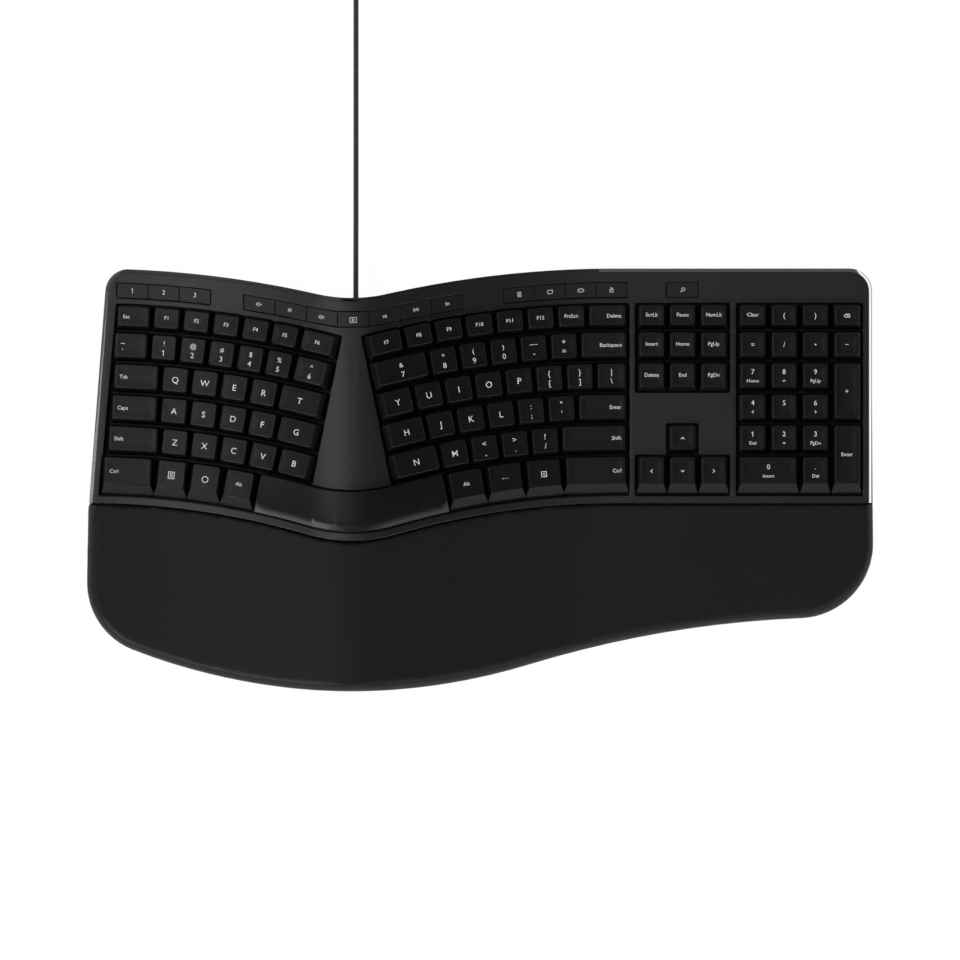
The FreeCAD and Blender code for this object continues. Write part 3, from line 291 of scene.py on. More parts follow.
def block_keys():
    small = UNIT - KEY_GAP
    pad_small = PAD_PITCH - PAD_KEY_GAP
    tall = KEY_DEPTH - KEY_GAP
    large = THUMB_DEPTH - KEY_GAP
    rows = [FUNCTION_ROW, 0.0, ROW_PITCH, 2 * ROW_PITCH, 3 * ROW_PITCH, BLOCK_BOTTOM_ROW]
    depths = [FUNCTION_DEPTH - KEY_GAP, tall, tall, tall, tall, large]
    nav = [NAV_X + n * UNIT for n in range(3)]
    pad = [PAD_X + n * PAD_PITCH for n in range(4)]
    tapers = (BLOCK_TAPER, BLOCK_TAPER)
    keys = []

    def grid(places, row_numbers):
        return [(x, row) for row in row_numbers for x in places]

    def put(node, width, places, marks):
        for (x, row), mark in zip(places, marks):
            middle = (x, block_y(rows[row]))
            keys.append(Key(node, middle, 0.0, width, depths[row], tapers, mark))

    def put_large(node, x, front, rear, width, mark):
        keys.append(Key(node, (x, (front + rear) / 2), 0.0, width, rear - front, tapers, mark))

    put("keys_navigation", small, grid(nav, (0, 1, 2)), NAV_LEGENDS)
    put("keys_arrow", small, [(nav[1], 4)] + grid(nav, (5,)), ARROW_LEGENDS)
    put("keys_pad_top", pad_small, grid(pad, (0, 1)), PAD_TOP_LEGENDS)
    put("keys_pad_digits", pad_small, grid(pad[:3], (2, 3, 4)), PAD_LEGENDS)
    put("keys_pad_digits", pad_small, [(pad[2], 5)], [("digit", ".", "Del")])
    front, rear = block_y(rows[5]) - large / 2, block_y(rows[5]) + large / 2
    zero_x = (pad[0] + pad[1]) / 2
    zero_width = pad_small + PAD_PITCH
    put_large("key_pad_zero", zero_x, front, rear, zero_width, ("digit", "0", "Insert"))
    rear = block_y(rows[4]) + tall / 2
    put_large("key_pad_enter", pad[3], front, rear, pad_small, ("word", "Enter"))
    front, rear = block_y(rows[3]) - tall / 2, block_y(rows[2]) + tall / 2
    put_large("key_pad_plus", pad[3], front, rear, pad_small, ("glyph", "+"))
    keys[-1].bevelled = False
    return keys


KEYS = key_rows() + block_keys()


def node_tilt(node):
    places = [key.x for key in KEYS if key.node == node]
    return deck_tilt(sum(places) / len(places))


# Working with Blender's tools

# A face is level when its normal's z is over LEVEL, and a wall when that is under UPRIGHT
LEVEL = 0.9
UPRIGHT = 0.3


def select_only(*objs):
    bpy.ops.object.select_all(action="DESELECT")
    for obj in objs:
        obj.select_set(True)
    bpy.context.view_layer.objects.active = objs[0]


def enter_edit(obj):
    select_only(obj)
    bpy.ops.object.mode_set(mode="EDIT")


def leave_edit():
    bpy.ops.object.mode_set(mode="OBJECT")


def pick(obj, kind, test):
    """Selects the faces or edges that pass a test."""
    bpy.ops.mesh.select_mode(type=kind)
    bpy.ops.mesh.select_all(action="DESELECT")
    shape = bmesh.from_edit_mesh(obj.data)
    shape.normal_update()
    for item in shape.faces if kind == "FACE" else shape.edges:
        if test(item):
            item.select_set(True)
    bmesh.update_edit_mesh(obj.data)


def place(obj, matrix):
    """Puts a piece modelled in millimetres at its place, in metres, with its object at the origin."""
    select_only(obj)
    obj.matrix_world = Matrix.Scale(MM, 4) @ matrix @ obj.matrix_world
    bpy.ops.object.transform_apply(location=True, rotation=True, scale=True)
    return obj


def copy_of(obj):
    twin = obj.copy()
    twin.data = obj.data.copy()
    bpy.context.scene.collection.objects.link(twin)
    return twin


def join(objs, name):
    select_only(*objs)
    if len(objs) > 1:
        bpy.ops.object.join()
    joined = bpy.context.view_layer.objects.active
    joined.name = name
    joined.data.name = name
    return joined


def apply_modifiers(obj):
    select_only(obj)
    for modifier in list(obj.modifiers):
        bpy.ops.object.modifier_apply(modifier=modifier.name)


def smooth(obj, degrees):
    select_only(obj)
    bpy.ops.object.shade_smooth_by_angle(angle=math.radians(degrees))


def smooth_faces(obj, degrees):
    """Smooth shading that keeps flat faces flat beside their rounded edges."""
    smooth(obj, degrees)
    weighted = obj.modifiers.new("flat_faces", "WEIGHTED_NORMAL")
    weighted.keep_sharp = True
    apply_modifiers(obj)


def seat(key):
    """From a key's own axes to its place on the deck."""
    spot = Matrix.Translation((key.x, key.y, deck_z(key.x)))
    lean = Matrix.Rotation(node_tilt(key.node), 4, "Y")
    return spot @ lean @ Matrix.Rotation(key.heading, 4, "Z")


# Finishes


def grain_group():
    """Fine moulded grain and faint large mottling, as two even masks around 0.5."""
    group = bpy.data.node_groups.new("moulded_grain", "ShaderNodeTree")
    nodes, links = group.nodes, group.links
    start = nodes.new("NodeGroupInput")
    end = nodes.new("NodeGroupOutput")
    coordinates = nodes.new("ShaderNodeTexCoord")
    for mask, detail in (("Grain", 2.0), ("Mottle", 3.0)):
        scale = mask + " Scale"
        for label, way in ((scale, "INPUT"), (mask, "OUTPUT")):
            group.interface.new_socket(name=label, in_out=way, socket_type="NodeSocketFloat")
        noise = nodes.new("ShaderNodeTexNoise")
        noise.inputs["Detail"].default_value = detail
        links.new(coordinates.outputs["Object"], noise.inputs["Vector"])
        links.new(start.outputs[scale], noise.inputs["Scale"])
        links.new(noise.outputs["Fac"], end.inputs[mask])
    return group


GRAIN = grain_group()


def finish(name, dark, light, rough, spread=0.08, bump=0.1, grain=2500.0, mottle=30.0,
           metallic=0.0, specular=0.5, relief_depth=0.00005):
    """A procedural finish: its colour goes between two tones, its gloss and grain vary a little."""
    material = bpy.data.materials.new(name)
    material.use_nodes = True
    nodes, links = material.node_tree.nodes, material.node_tree.links
    shader = nodes["Principled BSDF"]
    surface = nodes.new("ShaderNodeGroup")
    surface.node_tree = GRAIN
    surface.inputs["Grain Scale"].default_value = grain
    surface.inputs["Mottle Scale"].default_value = mottle
    tone = nodes.new("ShaderNodeMix")
    tone.data_type = "RGBA"
    tone.inputs["A"].default_value = (*dark, 1.0)
    tone.inputs["B"].default_value = (*light, 1.0)
    links.new(surface.outputs["Mottle"], tone.inputs["Factor"])
    links.new(tone.outputs["Result"], shader.inputs["Base Color"])
    gloss = nodes.new("ShaderNodeMapRange")
    gloss.inputs["To Min"].default_value = rough - spread
    gloss.inputs["To Max"].default_value = rough + spread
    links.new(surface.outputs["Grain"], gloss.inputs["Value"])
    links.new(gloss.outputs["Result"], shader.inputs["Roughness"])
    relief = nodes.new("ShaderNodeBump")
    relief.inputs["Strength"].default_value = bump
    relief.inputs["Distance"].default_value = relief_depth
    links.new(surface.outputs["Grain"], relief.inputs["Height"])
    links.new(relief.outputs["Normal"], shader.inputs["Normal"])
    shader.inputs["Metallic"].default_value = metallic
    shader.inputs["Specular IOR Level"].default_value = specular
    return material


def grey(value):
    return (value, value, value)


HOUSING = finish("satin_housing", grey(0.0066), grey(0.0086), 0.36, bump=0.2, specular=0.70)
KEY_PLASTIC = finish(
    "key_plastic", grey(0.0042), grey(0.0052), 0.34, bump=0.15, grain=3200.0, specular=0.34
)
FLAT_KEY = finish(
    "flat_key_plastic", grey(0.0062), grey(0.0078), 0.38, bump=0.15, grain=3200.0, specular=0.55
)
# Painted highlight: bright metal that stands for the white highlight on the black glossy rim of the
# trim band
BAND_HIGHLIGHT_METAL = finish(
    "painted_highlight_trim", grey(0.88), grey(0.94), 0.12, spread=0.02, bump=0.02, metallic=1.0
)
PALM_SKIN = finish(
    "palm_skin", grey(0.0052), grey(0.0080), 0.44, bump=0.5, grain=1100.0, mottle=14.0,
    specular=0.32, relief_depth=0.0001,
)
PRINT_WHITE = finish("legend_print", grey(0.93), grey(0.97), 0.5, bump=0.02)
DOME_RUBBER = finish("dome_rubber", grey(0.030), grey(0.038), 0.55, specular=0.2)
# Painted shade: the membrane film is near black so the gaps between the keys read dark; the boards
# under the flat keys get it too
SHADED_FILM = finish("switch_film_painted_shade", grey(0.008), grey(0.011), 0.40, bump=0.02, specular=0.2)
STEEL = finish(
    "steel_sheet", grey(0.42), grey(0.50), 0.32, spread=0.06, mottle=60.0, metallic=1.0
)
BOARD = finish("circuit_board", (0.010, 0.060, 0.025), (0.014, 0.080, 0.034), 0.35)
FOOT_RUBBER = finish("foot_rubber", grey(0.018), grey(0.024), 0.75, bump=0.5, grain=1800.0)
CORD_SKIN = finish("cord_skin", grey(0.028), grey(0.034), 0.48, bump=0.2, grain=1500.0)
PLUG_SKIN = finish("plug_skin", grey(0.014), grey(0.018), 0.5, bump=0.3, grain=2000.0)
PLUG_METAL = finish(
    "plug_metal", grey(0.60), grey(0.68), 0.22, spread=0.04, bump=0.05, metallic=1.0
)


def dress(obj, material):
    obj.data.materials.clear()
    obj.data.materials.append(material)


# Camera and cord come first

bpy.ops.object.camera_add(location=(0, 0, CAMERA_HEIGHT), rotation=(0, 0, 0))
camera = bpy.context.object
camera.name = "overhead_camera"
camera.data.lens = SENSOR * (CAMERA_HEIGHT - DECK_SIDE_Z * MM) / FRAME_WIDTH
camera.data.sensor_width = SENSOR
camera.data.clip_end = 20.0
bpy.context.scene.camera = camera


def bend(x, y, z, radius, side, rise):
    """Control points of a half turn whose spline keeps the bend's radius."""
    reach = radius / math.cos(math.pi / (2 * BEND_STEPS))
    corners = [(x, y, z)]
    for n in range(BEND_STEPS):
        share = (n + 0.5) / BEND_STEPS
        corners.append((
            x + (radius - reach * math.cos(math.pi * share)) * side,
            y + reach * math.sin(math.pi * share) * side,
            z + rise * share,
        ))
    corners.append((x + 2 * radius * side, y, z + rise))
    return corners


def coil_points():
    """The put-away lead's runs and bends, inwards on the desk and outwards on top, and their end."""
    step = COIL_PITCH / 2
    outwards = [COIL_INNER_R + (n + 1) * step for n in range(COIL_BENDS)]
    bends = list(reversed(outwards)) + [COIL_INNER_R] + outwards[:-1]
    x, y, z, side = CORD_X, COIL_START_Y + COIL_RUN, CORD_R, 1
    points = []
    for radius in bends:
        rise = COIL_PITCH if radius == COIL_INNER_R else 0.0
        points += bend(x, y, z, radius, side, rise)
        x, y, z, side = x + 2 * radius * side, y - COIL_RUN * side, z + rise, -side
    return points, (x, y, z)


def cord_points():
    start_y = row_y(REAR_EDGE, RIDGE_X) + GLAND_LIP
    start = [
        (CORD_X, start_y, CORD_EXIT_Z),
        (CORD_X, start_y + CORD_LEVEL_RUN, CORD_EXIT_Z),
        (CORD_X, start_y + CORD_LANDING, CORD_R),
        (CORD_X, COIL_START_Y, CORD_R),
    ]
    coil, (x, y, z) = coil_points()
    drop = TAIL_LENGTH + TAIL_DROP
    tail = [
        (x, y + TAIL_LENGTH, z),
        (x, y + drop, z - COIL_PITCH),
        (x, y + drop + TAIL_END, z - COIL_PITCH),
    ]
    return start + coil + tail


def curve_length(curve):
    mesh = bpy.data.meshes.new_from_object(curve)
    points = [v.co.copy() for v in mesh.vertices]
    bpy.data.meshes.remove(mesh)
    return sum((b - a).length for a, b in zip(points, points[1:]))


def make_cord():
    points = cord_points()
    data = bpy.data.curves.new("cord", "CURVE")
    data.dimensions = "3D"
    spline = data.splines.new("NURBS")
    spline.points.add(len(points) - 1)
    for item, (x, y, z) in zip(spline.points, points):
        item.co = (x * MM, y * MM, z * MM, 1.0)
    spline.order_u = 3
    spline.use_endpoint_u = True
    spline.resolution_u = 6
    cord = bpy.data.objects.new("cord", data)
    bpy.context.scene.collection.objects.link(cord)
    bpy.context.view_layer.update()
    length = curve_length(cord)
    data.bevel_depth = CORD_R * MM
    data.bevel_resolution = 3
    data.use_fill_caps = True
    dress(cord, CORD_SKIN)
    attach(cord, "chassis")
    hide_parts("cord_run", "cord_coil")
    return cord, length, points[0]


cord, cord_length, cord_exit = make_cord()

# Mouldings taken over from the frame, welded, rounded at their edges and given a finish

WELD = 0.00001
MOULDING_ANGLE = 28.0
BAND_CHAMFER = 1.8
BAND_FOOT = 0.6
FLATTEN_ANGLE = 0.5
# Limits for parts of a face's normal: x of a wall to the side, z of the chamfer, z of a face given
# the painted highlight
SIDEWAYS = 0.35
CHAMFER_SLOPE = (0.55, 0.85)
HIGHLIGHT_SLOPE = 0.6


def is_outer_side_edge(edge):
    """A top edge of the trim band above a wall that faces the left or the right."""
    side = sum(v.co.x for v in edge.verts)
    normals = [face.normal for face in edge.link_faces]
    top = any(n.z > LEVEL for n in normals)
    wall = any(n.x * side > 0 and abs(n.x) > SIDEWAYS and abs(n.z) < UPRIGHT for n in normals)
    return top and wall


def is_chamfer_foot(edge):
    """An edge between the chamfer and the wall under it."""
    slopes = sorted(face.normal.z for face in edge.link_faces)
    low, high = CHAMFER_SLOPE
    return len(slopes) == 2 and abs(slopes[0]) < UPRIGHT and low < slopes[1] < high


def is_past_wings(face):
    """A face at either end, where the deck is level."""
    return all(abs(v.co.x / MM - RIDGE_X) > WING_HALF for v in face.verts)


def chamfer_sides(band):
    """A chamfer along both sides and round the corners, over a rounded foot. Its faces turned up are
    later given bright metal as a painted highlight, and the steeper foot stays dark.
    """
    pick(band, "FACE", is_past_wings)
    bpy.ops.mesh.dissolve_limited(angle_limit=math.radians(FLATTEN_ANGLE))
    pick(band, "EDGE", is_outer_side_edge)
    bpy.ops.mesh.bevel(offset=BAND_CHAMFER * MM, segments=1, affect="EDGES")
    pick(band, "EDGE", is_chamfer_foot)
    bpy.ops.mesh.bevel(offset=BAND_FOOT * MM, segments=2, affect="EDGES")


def welded_copy(node, name, prepare=None):
    """A welded copy of a CAD node, free of the frame."""
    piece = copy_of(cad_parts[node])
    piece.name = name
    piece.data.name = name
    piece.parent = None
    for key in list(piece.keys()):
        del piece[key]
    enter_edit(piece)
    bpy.ops.mesh.select_all(action="SELECT")
    bpy.ops.mesh.remove_doubles(threshold=WELD)
    if prepare:
        prepare(piece)
    leave_edit()
    return piece


def moulding(node, name, material, edge=0.3, segments=2, body="chassis", prepare=None):
    """A copy of a CAD node with rounded edges, which stands for it."""
    piece = welded_copy(node, name, prepare)
    if edge:
        rounding = piece.modifiers.new("rounded_edges", "BEVEL")
        rounding.width = edge * MM
        rounding.segments = segments
        rounding.limit_method = "ANGLE"
        rounding.angle_limit = math.radians(MOULDING_ANGLE)
        rounding.use_clamp_overlap = False
        rounding.miter_outer = "MITER_ARC"
        apply_modifiers(piece)
    smooth_faces(piece, MOULDING_ANGLE)
    dress(piece, material)
    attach(piece, body)
    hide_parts(node)
    return piece


moulding("top_case", "deck", HOUSING, edge=0.45, segments=3)
band = moulding(
    "side_band", "gloss_trim_band", BAND_HIGHLIGHT_METAL, edge=0, prepare=chamfer_sides
)
band.data.materials.append(HOUSING)
# Painted highlight: the band's faces turned up at the level ends get the bright metal, all others the
# dark housing finish
for face in band.data.polygons:
    level_end = abs(face.center.x / MM - RIDGE_X) > WING_HALF
    face.material_index = 0 if face.normal.z > HIGHLIGHT_SLOPE and level_end else 1
moulding("bottom_case", "base_tray", HOUSING)
moulding("cord_gland", "cord_gland_sleeve", PLUG_SKIN, edge=0.15)
moulding("rubber_feet", "feet", FOOT_RUBBER, edge=0.25)
for node in ("leg_left", "leg_right"):
    moulding(node, "fold_" + node, HOUSING, edge=0.4, body=node)
moulding("key_space", "space_bar", KEY_PLASTIC, edge=0.5, segments=3, body="key_space")
for node in ("hot_keys_left", "hot_keys_media", "hot_keys_right"):
    moulding(node, node + "_caps", FLAT_KEY, segments=3, body=node)
plug = moulding("usb_plug", "plug_body", PLUG_SKIN, edge=0.5, segments=3)
plug_shell = moulding("usb_shell", "plug_sleeve", PLUG_METAL, edge=0.1)

for node, material in (
    ("palm_rest_core", HOUSING),
    ("rubber_domes", DOME_RUBBER),
    ("membrane", SHADED_FILM),
    ("backing_plate", STEEL),
    ("stabiliser_wires", STEEL),
    ("controller_board", BOARD),
    ("hot_key_boards", SHADED_FILM),
    ("inner_lead", CORD_SKIN),
    ("case_screws", STEEL),
    ("leg_pins", STEEL),
):
    dress(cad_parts[node], material)

# Palm pad: a soft skin over foam, its edges relaxed

PAD_VOXEL = 1.5
PAD_SMOOTHING = 6
PAD_ANGLE = 80.0


def make_palm_pad():
    pad = welded_copy("palm_rest_pad", "palm_pad")
    grid = pad.modifiers.new("even_mesh", "REMESH")
    grid.mode = "VOXEL"
    grid.voxel_size = PAD_VOXEL * MM
    relax = pad.modifiers.new("soft_edges", "SMOOTH")
    relax.factor = 0.5
    relax.iterations = PAD_SMOOTHING
    apply_modifiers(pad)
    smooth(pad, PAD_ANGLE)
    dress(pad, PALM_SKIN)
    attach(pad, "chassis")
    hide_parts("palm_rest_pad")


make_palm_pad()

# Keycaps: each size is modelled once, on its own axes, and copied

EDGE_ROUND = 0.45
CORNER_ROUND = 1.5
CAP_SKIRT = 0.25
CAP_HOLLOW = 1.6
BEVELLED_HOLLOW = 0.1
CAP_ANGLE = 40.0
CREASE_ANGLE = 0.3
FLAT_TOP = 0.999
DISH_LIMIT = 0.6
STEM_TOP = 3.0
# How far each step of the dish goes in, and how far it lies lower
DISH_STEPS = ((0.9, 0.0), (1.5, -0.09), (1.7, -0.07))


def block(width, depth, bottom, top):
    """An upright block around the key's axis."""
    bpy.ops.mesh.primitive_cube_add(
        size=1, location=(0, 0, (bottom + top) / 2), scale=(width, depth, top - bottom)
    )
    bpy.ops.object.transform_apply(location=True, rotation=True, scale=True)
    return bpy.context.object


def faces_up(face):
    return face.normal.z > LEVEL


def faces_down(face):
    return face.normal.z < -LEVEL


def is_corner(edge):
    """An edge up a corner of the skirt or of the slopes above it."""
    return abs(edge.verts[0].co.z - edge.verts[1].co.z) > 1


def is_crease(edge):
    """An edge round the top or the front bevel, above the skirt."""
    low = min(v.co.z for v in edge.verts)
    return low > CAP_SKIRT + 0.01 and edge.calc_face_angle(0) > CREASE_ANGLE


def is_cap_middle(face):
    """The flat face in the middle of the top, which has more corners than the strips round it."""
    high = face.calc_center_median().z > KEY_RISE - DISH_LIMIT
    return high and face.normal.z > FLAT_TOP and len(face.verts) > 6


def sink_middle(cap, step, drop):
    """Draws the middle of the top in by a step on each side and sinks it."""
    pick(cap, "FACE", is_cap_middle)
    shape = bmesh.from_edit_mesh(cap.data)
    corners = [v.co for face in shape.faces if face.select for v in face.verts]
    wide = max(c.x for c in corners) - min(c.x for c in corners)
    deep = max(c.y for c in corners) - min(c.y for c in corners)
    bpy.ops.mesh.extrude_region()
    bpy.ops.transform.resize(value=(1 - 2 * step / wide, 1 - 2 * step / deep, 1))
    bpy.ops.transform.translate(value=(0, 0, drop))


def cap_form(width, depth, bevelled, tapers):
    """A hollow cap: an upright skirt, leaning sides, a shallow dish and perhaps a front bevel."""
    front = LARGE_FRONT_TAPER if bevelled else FRONT_TAPER
    left, right = tapers
    rise = ((left - right) / 2, (front - REAR_TAPER) / 2, KEY_RISE - CAP_SKIRT)
    top_share = (1 - (left + right) / width, 1 - (front + REAR_TAPER) / depth, 1)
    cap = block(width, depth, -KEY_DROP, CAP_SKIRT)
    enter_edit(cap)
    pick(cap, "FACE", faces_up)
    bpy.ops.mesh.extrude_region_move(TRANSFORM_OT_translate={"value": rise})
    bpy.ops.transform.resize(value=top_share)
    pick(cap, "EDGE", is_corner)
    bpy.ops.mesh.bevel(offset=CORNER_ROUND, segments=3, affect="EDGES")
    if bevelled:
        bpy.ops.mesh.select_all(action="SELECT")
        bpy.ops.mesh.bisect(
            plane_co=(0, -depth / 2 + front + BEVEL_DEPTH, KEY_RISE),
            plane_no=(0, -BEVEL_DROP, BEVEL_DEPTH),
            use_fill=True,
            clear_outer=True,
        )
    pick(cap, "EDGE", is_crease)
    bpy.ops.mesh.bevel(offset=EDGE_ROUND, segments=3, affect="EDGES")
    for step, drop in DISH_STEPS:
        sink_middle(cap, step, drop)
    pick(cap, "FACE", faces_down)
    bpy.ops.mesh.inset(thickness=CAP_WALL, depth=0)
    hollow = KEY_DROP + (BEVELLED_HOLLOW if bevelled else CAP_HOLLOW)
    bpy.ops.mesh.extrude_region_move(TRANSFORM_OT_translate={"value": (0, 0, hollow)})
    leave_edit()
    cap = join([cap, block(STEM, STEM, -STEM_REACH, STEM_TOP)], "cap")
    smooth_faces(cap, CAP_ANGLE)
    return cap


# Legends: flat outlines made above the caps and laid on them, a few hundredths clear

PRINT_LIFT = 0.03
PRINT_WEIGHT = 0.012
MARK_HEIGHT = KEY_RISE + 2.0
LEGEND_DROP = 0.5
LETTER = 5.3
DIGIT = 4.7
SHIFTED_SHARE = 0.86
PAD_DIGIT = 4.3
FLAT_DIGIT = 3.9
WORD = 3.3
PAD_WORD = 3.0
KEY_SIGN = 0.95
LARGE_SIGN = 1.05
PAD_SIGN = 0.75
FLAT_SIGN = 0.9
KEY_STROKE = 0.22
PAD_STROKE = 0.2
FLAT_STROKE = 0.16
ONE_STROKE = 0.055
LEFT_MARGIN = 2.6
RIGHT_MARGIN = 2.2
LEFT_PAIR_MARGIN = 4.2
LEFT_PAIR_Y = (1.6, -3.4)
PAIR_Y = (2.7, -3.0)
PAD_DIGIT_Y = 2.4
PAD_SIGN_Y = -3.0
PAD_WORD_Y = -3.1


def box(left, front, right, rear):
    return [(left, front), (right, front), (right, rear), (left, rear), (left, front)]


def circle(x, y, radius, steps):
    turns = [2 * math.pi * n / steps for n in range(steps + 1)]
    return [(x + radius * math.cos(turn), y + radius * math.sin(turn)) for turn in turns]


def speaker(x):
    return [
        (x, -0.5), (x + 0.7, -0.5), (x + 1.6, -1.3), (x + 1.6, 1.3), (x + 0.7, 0.5), (x, 0.5),
        (x, -0.5),
    ]


STROKES = {
    "one": [[(-0.19, 0.19), (0.0, 0.31), (0.0, -0.36)]],
    "up": [[(-1.1, -0.6), (0, 0.6), (1.1, -0.6)]],
    "down": [[(-1.1, 0.6), (0, -0.6), (1.1, 0.6)]],
    "left": [[(0.6, 1.1), (-0.6, 0), (0.6, -1.1)]],
    "right": [[(-0.6, 1.1), (0.6, 0), (-0.6, -1.1)]],
    "menu": [box(-1.7, -1.9, 1.7, 1.9)] + [[(-0.9, y), (0.9, y)] for y in (0.9, 0, -0.9)],
    "ring": [circle(0, 0, 1.7, 24)],
    "dots": [[(x, -0.3), (x, 0.3)] for x in (-1.6, 0, 1.6)],
    "page": [box(-1.6, -1.6, 1.6, 1.6), [(-0.7, 0), (0.7, 0)], [(0, -0.7), (0, 0.7)]],
    "erase": [
        [(-0.7, 1.0), (1.8, 1.0), (1.8, -1.0), (-0.7, -1.0), (-1.8, 0), (-0.7, 1.0)],
        [(0, -0.45), (0.9, 0.45)], [(0, 0.45), (0.9, -0.45)],
    ],
    "quiet": [speaker(-1.9), [(0.5, -0.5), (1.5, 0.5)], [(0.5, 0.5), (1.5, -0.5)]],
    "softer": [speaker(-1.7), [(0.6, -0.6), (0.9, 0), (0.6, 0.6)]],
    "louder": [
        speaker(-1.9), [(0.4, -0.6), (0.7, 0), (0.4, 0.6)], [(1.1, -1.0), (1.6, 0), (1.1, 1.0)],
    ],
    "screen": [box(-2.2, -1.6, 2.2, 1.6), [(-0.6, -0.8), (0.8, 0), (-0.6, 0.8), (-0.6, -0.8)]],
    "back": [[(-1.0, -1.0), (-1.0, 1.0)], [(1.1, -1.0), (1.1, 1.0), (-0.5, 0), (1.1, -1.0)]],
    "play": [
        [(-1.7, -1.0), (-0.1, 0), (-1.7, 1.0), (-1.7, -1.0)],
        [(0.6, -1.0), (0.6, 1.0)], [(1.4, -1.0), (1.4, 1.0)],
    ],
    "next": [[(1.0, -1.0), (1.0, 1.0)], [(-1.1, -1.0), (-1.1, 1.0), (0.5, 0), (-1.1, -1.0)]],
    "sums": [box(-1.1, -1.5, 1.1, 1.5)] + [[(-0.6, y), (0.6, y)] for y in (0.8, 0, -0.8)],
    "cutout": [
        [(-1.6, 1.2), (1.6, 1.2), (1.6, -0.2)], [(0.2, -1.2), (-1.6, -1.2), (-1.6, 1.2)],
        [(0.9, -1.2), (1.6, -0.6)],
    ],
    "windows": [box(-1.3, -1.1, 1.3, 1.1)] + [[(x, -0.8), (x, 0.8)] for x in (-2.0, 2.0)],
    "lock": [
        box(-1.1, -1.4, 1.1, 0.2),
        [(-0.7, 0.2), (-0.7, 1.0), (-0.3, 1.5), (0.3, 1.5), (0.7, 1.0), (0.7, 0.2)],
    ],
    "search": [circle(0.5, 0.4, 1.1, 16), [(-0.3, -0.4), (-1.6, -1.6)]],
}


def text_mark(text, size, x, y, side="CENTER"):
    """A flat word, with the middle of its capitals at y and its middle or one end at x."""
    bpy.ops.object.text_add(location=(x, y, MARK_HEIGHT))
    mark = bpy.context.object
    mark.data.body = text
    mark.data.size = size
    mark.data.offset = PRINT_WEIGHT
    mark.data.align_x = side
    mark.data.align_y = "CENTER"
    mark.data.resolution_u = 3
    select_only(mark)
    bpy.ops.object.convert(target="MESH")
    bpy.ops.object.transform_apply(location=True, rotation=True, scale=True)
    return mark


def make_nib():
    """A level line that a stroke draws along its course, as a flat ribbon."""
    data = bpy.data.curves.new("nib", "CURVE")
    spline = data.splines.new("POLY")
    spline.points.add(1)
    spline.points[0].co = (-1, 0, 0, 1)
    spline.points[1].co = (1, 0, 0, 1)
    nib = bpy.data.objects.new("nib", data)
    bpy.context.scene.collection.objects.link(nib)
    return nib


NIB = make_nib()
WIDEST_TURN = 2.0


def miter(before, here, after):
    """How much wider a stroke is drawn at a corner, so that its sides stay parallel."""
    turn = (Vector(here) - Vector(before)).angle(Vector(after) - Vector(here))
    return 1 / math.cos(min(turn, WIDEST_TURN) / 2)


def sign_mark(name, scale, x, y, stroke):
    """A sign drawn as flat ribbons."""
    data = bpy.data.curves.new(name, "CURVE")
    data.dimensions = "3D"
    for line in STROKES[name]:
        spline = data.splines.new("POLY")
        closed = line[0] == line[-1]
        points = line[:-1] if closed else line
        last = len(points) - 1
        spline.points.add(last)
        for n, (item, (px, py)) in enumerate(zip(spline.points, points)):
            item.co = (px * scale + x, py * scale + y, MARK_HEIGHT, 1)
            item.radius = stroke
            if closed or 0 < n < last:
                item.radius *= miter(points[n - 1], points[n], points[(n + 1) % len(points)])
        spline.use_cyclic_u = closed
    data.bevel_mode = "OBJECT"
    data.bevel_object = NIB
    mark = bpy.data.objects.new(name, data)
    bpy.context.scene.collection.objects.link(mark)
    select_only(mark)
    bpy.ops.object.convert(target="MESH")
    return mark


def digit_mark(text, size, x, y):
    """A digit or sign from the font, and the 1 as strokes with its flag."""
    if text != "1":
        return text_mark(text, size, x, y)
    return sign_mark("one", size, x, y, size * ONE_STROKE)


def key_marks(key, width):
    """The words and signs of a key, above its top."""
    front = LARGE_FRONT_TAPER + BEVEL_DEPTH if key.bevelled else FRONT_TAPER
    left, right = key.tapers
    x = (left - right) / 2
    y = (front - REAR_TAPER) / 2
    kind, text = key.mark[:2]
    if kind == "word":
        return [text_mark(text, WORD, x, y)]
    y -= LEGEND_DROP
    if kind == "letter":
        return [text_mark(text, LETTER, x, y)]
    if kind == "glyph":
        return [text_mark(text, PAD_DIGIT, x, y)]
    if kind == "left":
        return [text_mark(text, WORD, left - width / 2 + LEFT_MARGIN, y, "LEFT")]
    if kind == "right":
        return [text_mark(text, WORD, width / 2 - right - RIGHT_MARGIN, y, "RIGHT")]
    if kind == "left_pair":
        x = left - width / 2 + LEFT_PAIR_MARGIN
        return [text_mark(sign, DIGIT, x, y + up) for sign, up in zip(text, LEFT_PAIR_Y)]
    if kind == "pair":
        upper = DIGIT * (SHIFTED_SHARE if text[1].isdigit() else 1.0)
        return [
            text_mark(text[0], upper, x, y + PAIR_Y[0]),
            digit_mark(text[1], DIGIT, x, y + PAIR_Y[1]),
        ]
    if kind == "sign":
        scale = LARGE_SIGN if text in ("menu", "ring") else KEY_SIGN
        return [sign_mark(text, scale, x, y, KEY_STROKE)]
    marks = [digit_mark(text, PAD_DIGIT, x, y + PAD_DIGIT_Y)]
    second = key.mark[2]
    if second in STROKES:
        marks.append(sign_mark(second, PAD_SIGN, x, y + PAD_SIGN_Y, PAD_STROKE))
    elif second:
        marks.append(text_mark(second, PAD_WORD, x, y + PAD_WORD_Y))
    return marks


